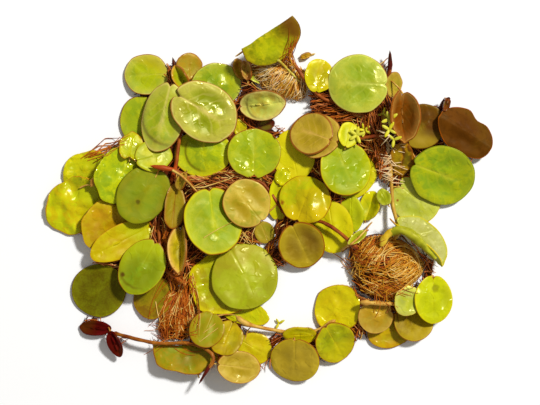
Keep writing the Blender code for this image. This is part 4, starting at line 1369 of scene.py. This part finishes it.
def bed_felt():
    """The thin matted felt in the gaps and under the leaves beside them, dark partly as painted shade in the
    gaps.
    """
    bm = bmesh.new()
    columns = covered.shape
    bmesh.ops.create_grid(bm, x_segments=columns[0] - 1, y_segments=columns[1] - 1, size=1.0)
    felted = spread(within & ~covered, BED_FELT_GROWN, True) & spread(within, BED_FELT_GROWN, False)
    level, lump, scale = BED_FELT
    bare = []
    for vert in bm.verts:
        cell = [round((part + 1) / 2 * (count - 1)) for part, count in zip(vert.co, columns)]
        x, y = cell_middle(*cell)
        height = free_height(x, y, level) if felted[tuple(cell)] else None
        if height is None:
            bare.append(vert)
            height = level
        lumps = lump * noise.noise((x * scale, y * scale, 0.0))
        vert.co = (x, y, max(min(height, 2 * level) + lumps, BED_FELT_WALL))
    bmesh.ops.delete(bm, geom=bare, context="VERTS")
    loose = [vert for vert in bm.verts if not vert.link_faces]
    bmesh.ops.delete(bm, geom=loose, context="VERTS")
    for _ in range(EDGE_SMOOTHING):
        border = [vert for vert in bm.verts if vert.is_boundary]
        bmesh.ops.smooth_vert(bm, verts=border, factor=0.5,
                              use_axis_x=True, use_axis_y=True, use_axis_z=True)
    felt_shade_paint = root_paint("roots_felt_and_shade", ROOT_DARK, (0.045, 0.007, 0.002))
    thicken(new_piece("root_felt", finished(bm, "root_felt"), [felt_shade_paint]), BED_FELT_WALL)


def clump_at(x, y):
    """The clump of roots that a point in plan belongs to, if any."""
    for clump in CLUMPS:
        (centre_x, centre_y), (half_x, half_y) = clump[:2]
        if math.hypot((x / MM - centre_x) / half_x, (y / MM - centre_y) / half_y) < 1:
            return clump
    return None


bed_felt()
bed = {"left": [], "middle": [], "right": []}
for cell in gaps:
    x, y = cell_middle(*cell)
    clump = clump_at(x, y)
    if chance.random() > BED_SHARE * (clump[3] if clump else 1.0):
        continue
    x += chance.uniform(-0.5, 0.5) * PLAN_CELL
    y += chance.uniform(-0.5, 0.5) * PLAN_CELL
    level = chance.random()
    height = BED_HEIGHT[0] + (BED_HEIGHT[1] - BED_HEIGHT[0]) * level**MOSTLY_LOW
    if clump:
        height *= CLUMP_RAISE
        heading = math.radians(clump[2]) + chance.gauss(0.0, CLUMP_STRAY)
        shades = clump[4]
    else:
        flow = noise.noise((x * BED_FLOW_SCALE, y * BED_FLOW_SCALE, 0.0))
        heading = flow * BED_FLOW + chance.gauss(0.0, BED_STRAY)
        # The lower the root lies, the darker its paints: partly painted shade under the leaves.
        shades = BED_SHADE_BY_HEIGHT[min(2, int(level * 3))]
    reach = chance.uniform(*BED_LENGTH) / (BED_POINTS - 1)
    turn = chance.gauss(0.0, BED_BEND) / BED_POINTS
    ahead = half_root(x, y, height, heading, turn, reach)
    behind = half_root(x, y, height, heading + math.pi, turn, reach)
    path = np.array([*behind[::-1], (x, y, height), *ahead])
    if len(path) < BED_FEWEST_POINTS:
        continue
    path[1:-1, 2] = (path[:-2, 2] + 2 * path[1:-1, 2] + path[2:, 2]) / 4
    side = "left" if x < -MIDDLE_HALF else "right" if x > MIDDLE_HALF else "middle"
    bed[side].append((path, BED_RADIUS * chance.uniform(*BED_GIRTHS), chance.choice(shades)))
for side, roots in bed.items():
    paints = [dark_roots, rust_roots, orange_roots, pink_roots, cream_roots]
    strand_piece("fine_roots_" + side, roots, paints)

# Roots and stems on top
# Pale young roots and thin stems that lie over the pile, each on the leaf or root mass that carries it.
# The long ones are shown by their course in plan, and the short white hairs stand off the tan stem.
LAID_STEP = 0.7 * MM
LAID_SINK = 0.9
LAID_SMOOTHING = 3
ON_TOP = (
    (0.16, 2, ((30.9, -11.9), (28.4, -13.4), (28.2, -15.6), (29.2, -18.6), (29.9, -19.4), (32.4, -18.6),
               (33.9, -16.6))),
    (0.13, 2, ((29.2, -17.1), (30.9, -16.4), (32.7, -15.1))),
    (0.16, 1, ((28.2, -24.0), (31.4, -21.9), (35.2, -18.9), (38.4, -16.9))),
    (0.14, 2, ((28.6, -24.2), (31.8, -22.5), (35.6, -19.7), (38.2, -17.6))),
    (0.12, 1, ((27.6, -23.4), (31.0, -21.2), (34.6, -18.3), (37.8, -16.2))),
    (0.15, 2, ((20.4, -17.6), (23.2, -19.9), (27.2, -21.4), (25.7, -22.9), (23.9, -23.4))),
    (0.13, 1, ((20.9, -13.4), (21.2, -15.6), (21.9, -17.9))),
    (0.36, 6, ((2.2, 34.2), (3.4, 33.4), (4.9, 31.9), (6.2, 30.6), (7.4, 29.2))),
    (0.09, 2, ((3.7, 33.4), (2.4, 31.6))), (0.10, 2, ((4.7, 32.6), (3.0, 30.1))),
    (0.10, 2, ((5.9, 31.8), (4.2, 28.9))), (0.09, 2, ((6.9, 30.8), (5.0, 27.6))),
    (0.10, 2, ((7.5, 30.3), (6.0, 27.0))), (0.08, 2, ((6.3, 31.4), (5.6, 28.4))),
    (0.09, 2, ((-16.1, -9.4), (-12.3, -7.1), (-8.8, -5.4))),
    (0.10, 2, ((-12.6, -31.6), (-15.3, -33.6), (-17.3, -35.1))),
    (0.10, 2, ((-13.3, -30.6), (-16.3, -32.9))),
    (0.34, 3, ((-23.8, 7.2), (-21.6, 5.9), (-19.8, 4.1), (-17.8, 1.9))),
    (0.13, 2, ((-28.3, -25.4), (-27.8, -28.1), (-27.1, -30.6))),
    (0.12, 2, ((-21.1, -20.6), (-22.8, -25.1), (-24.8, -31.4))),
    (0.30, 3, ((17.7, -12.6), (21.7, -9.6), (25.7, -5.6))),
)
HAIRY_STEM = ((29.2, 16.4), (30.2, 10.6), (30.4, 4.0))
HAIR_COUNT = 64
HAIR_POINTS = 5
HAIR_RADIUS = 0.12 * MM
HAIR_LENGTH = (2.0, 4.4)
HAIR_HEADINGS = (140.0, 235.0)
HAIR_BACK_HEADINGS = (-60.0, 60.0)
HAIR_BACK_SHARE = 0.2
HAIR_END_LIFT = 0.3 * MM
HAIR_ARCH = 0.5 * MM
HAIR_DROP = 1.5 * MM
ARCH_COUNT = 16
ARCH_RADIUS = 0.11 * MM
ARCH_ENDS = ((-44.6, 10.8), (-36.4, 14.6))
ARCH_SCATTER = 0.9
ARCH_SWING = (-1.6, 2.2)
ARCH_WAY = (-0.42, 0.9)
FAN_RADIUS = 0.10 * MM
FAN_BEND = 0.10
FAN_BENDS_AT = (0.35, 0.7)
FANS = (((5.2, 36.2), 26, (3.0, 6.0), ((215, 300), (60, 80)), 0.5, (0, 4, 1)),
        ((3.8, 33.2), 30, (3.0, 6.5), ((205, 250),), 0.8, (2, 2, 1, 5)),
        ((-20.6, -19.0), 60, (8.0, 16.0), ((222, 282),), 1.2, (4, 7, 7, 7, 0, 2)),
        ((-24.0, -33.0), 30, (3.0, 7.0), ((140, 215), (-30, 30)), 2.4, (4, 7, 0)),
        ((21.6, -15.0), 26, (3.0, 8.0), ((-60, 30),), 2.0, (4, 7, 0, 1)),
        ((24.0, -19.0), 26, (4.0, 9.0), ((-25, 20),), 2.4, (4, 0, 1, 2)),
        ((28.4, -19.4), 26, (5.0, 8.5), ((18, 38),), 2.0, (0, 1, 1, 2)),
        ((27.4, -22.0), 14, (3.0, 6.0), ((250, 330),), 2.4, (4, 0, 1)))

depsgraph = bpy.context.evaluated_depsgraph_get()
dressed = surface_of(gathered(piece.evaluated_get(depsgraph).data for piece in pieces
                              if not piece.name.startswith("fine_roots")))


def pile_top(x, y):
    """Height of the dressed pile at a point in plan."""
    return height_on(dressed, x, y) or 0.0


def laid_strand(course, radius):
    """A strand along a course in plan, in millimetres, that lies on the pile or bridges its steps."""
    course = np.array(course) * MM
    marks = np.concatenate(([0.0], np.cumsum(np.linalg.norm(np.diff(course, axis=0), axis=1))))
    steps = np.linspace(0.0, marks[-1], max(4, round(marks[-1] / LAID_STEP) + 1))
    x, y = (np.interp(steps, marks, course[:, part]) for part in (0, 1))
    if len(course) > 3:
        x[1:-1], y[1:-1] = ((part[:-2] + 2 * part[1:-1] + part[2:]) / 4 for part in (x, y))
    z = np.array([pile_top(*spot) for spot in zip(x, y)]) + radius * LAID_SINK
    for _ in range(LAID_SMOOTHING):
        z[1:-1] = np.maximum(z[1:-1], (z[:-2] + z[2:]) / 2)
    return np.column_stack((x, y, z))


on_top = [(laid_strand(course, radius * MM), radius * MM, paint) for radius, paint, course in ON_TOP]
stem = np.array(HAIRY_STEM)
for _ in range(HAIR_COUNT):
    along = chance.random() * (len(stem) - 1)
    first = min(int(along), len(stem) - 2)
    x, y = (stem[first] + (stem[first + 1] - stem[first]) * (along - first)) * MM
    heading = math.radians(chance.uniform(*HAIR_HEADINGS))
    if chance.random() < HAIR_BACK_SHARE:
        heading = math.radians(chance.uniform(*HAIR_BACK_HEADINGS))
    length = chance.uniform(*HAIR_LENGTH) * MM
    out = np.linspace(0.0, 1.0, HAIR_POINTS)
    start = pile_top(x, y)
    end = pile_top(x + math.cos(heading) * length, y + math.sin(heading) * length) + HAIR_END_LIFT
    end = max(end, start - HAIR_DROP)
    path = np.column_stack((x + math.cos(heading) * length * out, y + math.sin(heading) * length * out,
                            start + (end - start) * out + HAIR_ARCH * np.sin(math.pi * out)))
    on_top.append((path, HAIR_RADIUS, 5))
for _ in range(ARCH_COUNT):
    stray = [[chance.gauss(0.0, ARCH_SCATTER), chance.gauss(0.0, ARCH_SCATTER)] for _ in range(2)]
    ends = np.array(ARCH_ENDS) + stray
    swing = chance.uniform(*ARCH_SWING)
    middle = ends.mean(axis=0) + (ARCH_WAY[0] * swing, ARCH_WAY[1] * swing)
    path = laid_strand((ends[0], middle, ends[1]), ARCH_RADIUS)
    on_top.append((path, ARCH_RADIUS, chance.choice((0, 0, 1, 4))))
for foot, count, lengths, spans, scatter, fan_paints in FANS:
    for _ in range(count):
        heading = math.radians(chance.uniform(*chance.choice(spans)))
        length = chance.uniform(*lengths)
        start = np.array(foot) + (chance.gauss(0.0, scatter), chance.gauss(0.0, scatter))
        way = np.array((math.cos(heading), math.sin(heading)))
        bend = np.array((-way[1], way[0])) * length * chance.gauss(0.0, FAN_BEND)
        bends = [start + way * length * share + bend for share in FAN_BENDS_AT]
        course = (start, *bends, start + way * length)
        on_top.append((laid_strand(course, FAN_RADIUS), FAN_RADIUS, chance.choice(fan_paints)))
young_stem = root_paint("young_stem_paint", (0.74, 0.66, 0.10), (0.58, 0.42, 0.04))
top_root_paints = [orange_roots, gold_roots, cream_roots, stalk_paint, rust_roots, pale_roots, young_stem,
                   red_orange_roots]
strand_piece("roots_on_top", on_top, top_root_paints)

# Studio
# Not part of the plant: a pale floor, a soft key light from the upper right and an even surrounding light.
# The camera looks straight down, as the photograph does.
FLOOR_SIZE = 3.0
FLOOR_DROP = 0.2 * MM
FLOOR_COLOUR = (0.95, 0.95, 0.94, 1.0)
FLOOR_ROUGHNESS = 0.8
KEY_PLACE = (0.70, 0.62, 1.12)
KEY_SIZE = 0.16
KEY_ENERGY = 23.0
SKY_COLOUR = (1.0, 0.98, 0.95, 1.0)
SKY_STRENGTH = 0.30
IMAGE_WIDTH = 135 * MM
VIEW_CENTRE = (0.168 * MM, -0.736 * MM)
LENS = 85.0
SENSOR = 36.0

bpy.ops.mesh.primitive_plane_add(size=FLOOR_SIZE, location=(0.0, 0.0, -FLOOR_DROP))
floor = bpy.context.object
floor.name = "floor"
floor_look = {"Base Color": FLOOR_COLOUR, "Roughness": FLOOR_ROUGHNESS}
floor.data.materials.append(new_paint("floor_paint", floor_look)[0])

key = bpy.data.lights.new("key", "AREA")
key.size = KEY_SIZE
key.energy = KEY_ENERGY
key_lamp = bpy.data.objects.new("key", key)
key_lamp.location = KEY_PLACE
key_lamp.rotation_euler = (-Vector(KEY_PLACE)).to_track_quat("-Z", "Y").to_euler()
bpy.context.scene.collection.objects.link(key_lamp)

world = bpy.data.worlds.new("world")
world.use_nodes = True
world.node_tree.nodes["Background"].inputs["Color"].default_value = SKY_COLOUR
world.node_tree.nodes["Background"].inputs["Strength"].default_value = SKY_STRENGTH
bpy.context.scene.world = world
bpy.context.scene.view_settings.view_transform = "Standard"

lens = bpy.data.cameras.new("camera")
lens.lens = LENS
lens.sensor_width = SENSOR
camera = bpy.data.objects.new("camera", lens)
camera.location = (*VIEW_CENTRE, IMAGE_WIDTH * LENS / SENSOR)
bpy.context.scene.collection.objects.link(camera)
bpy.context.scene.camera = camera
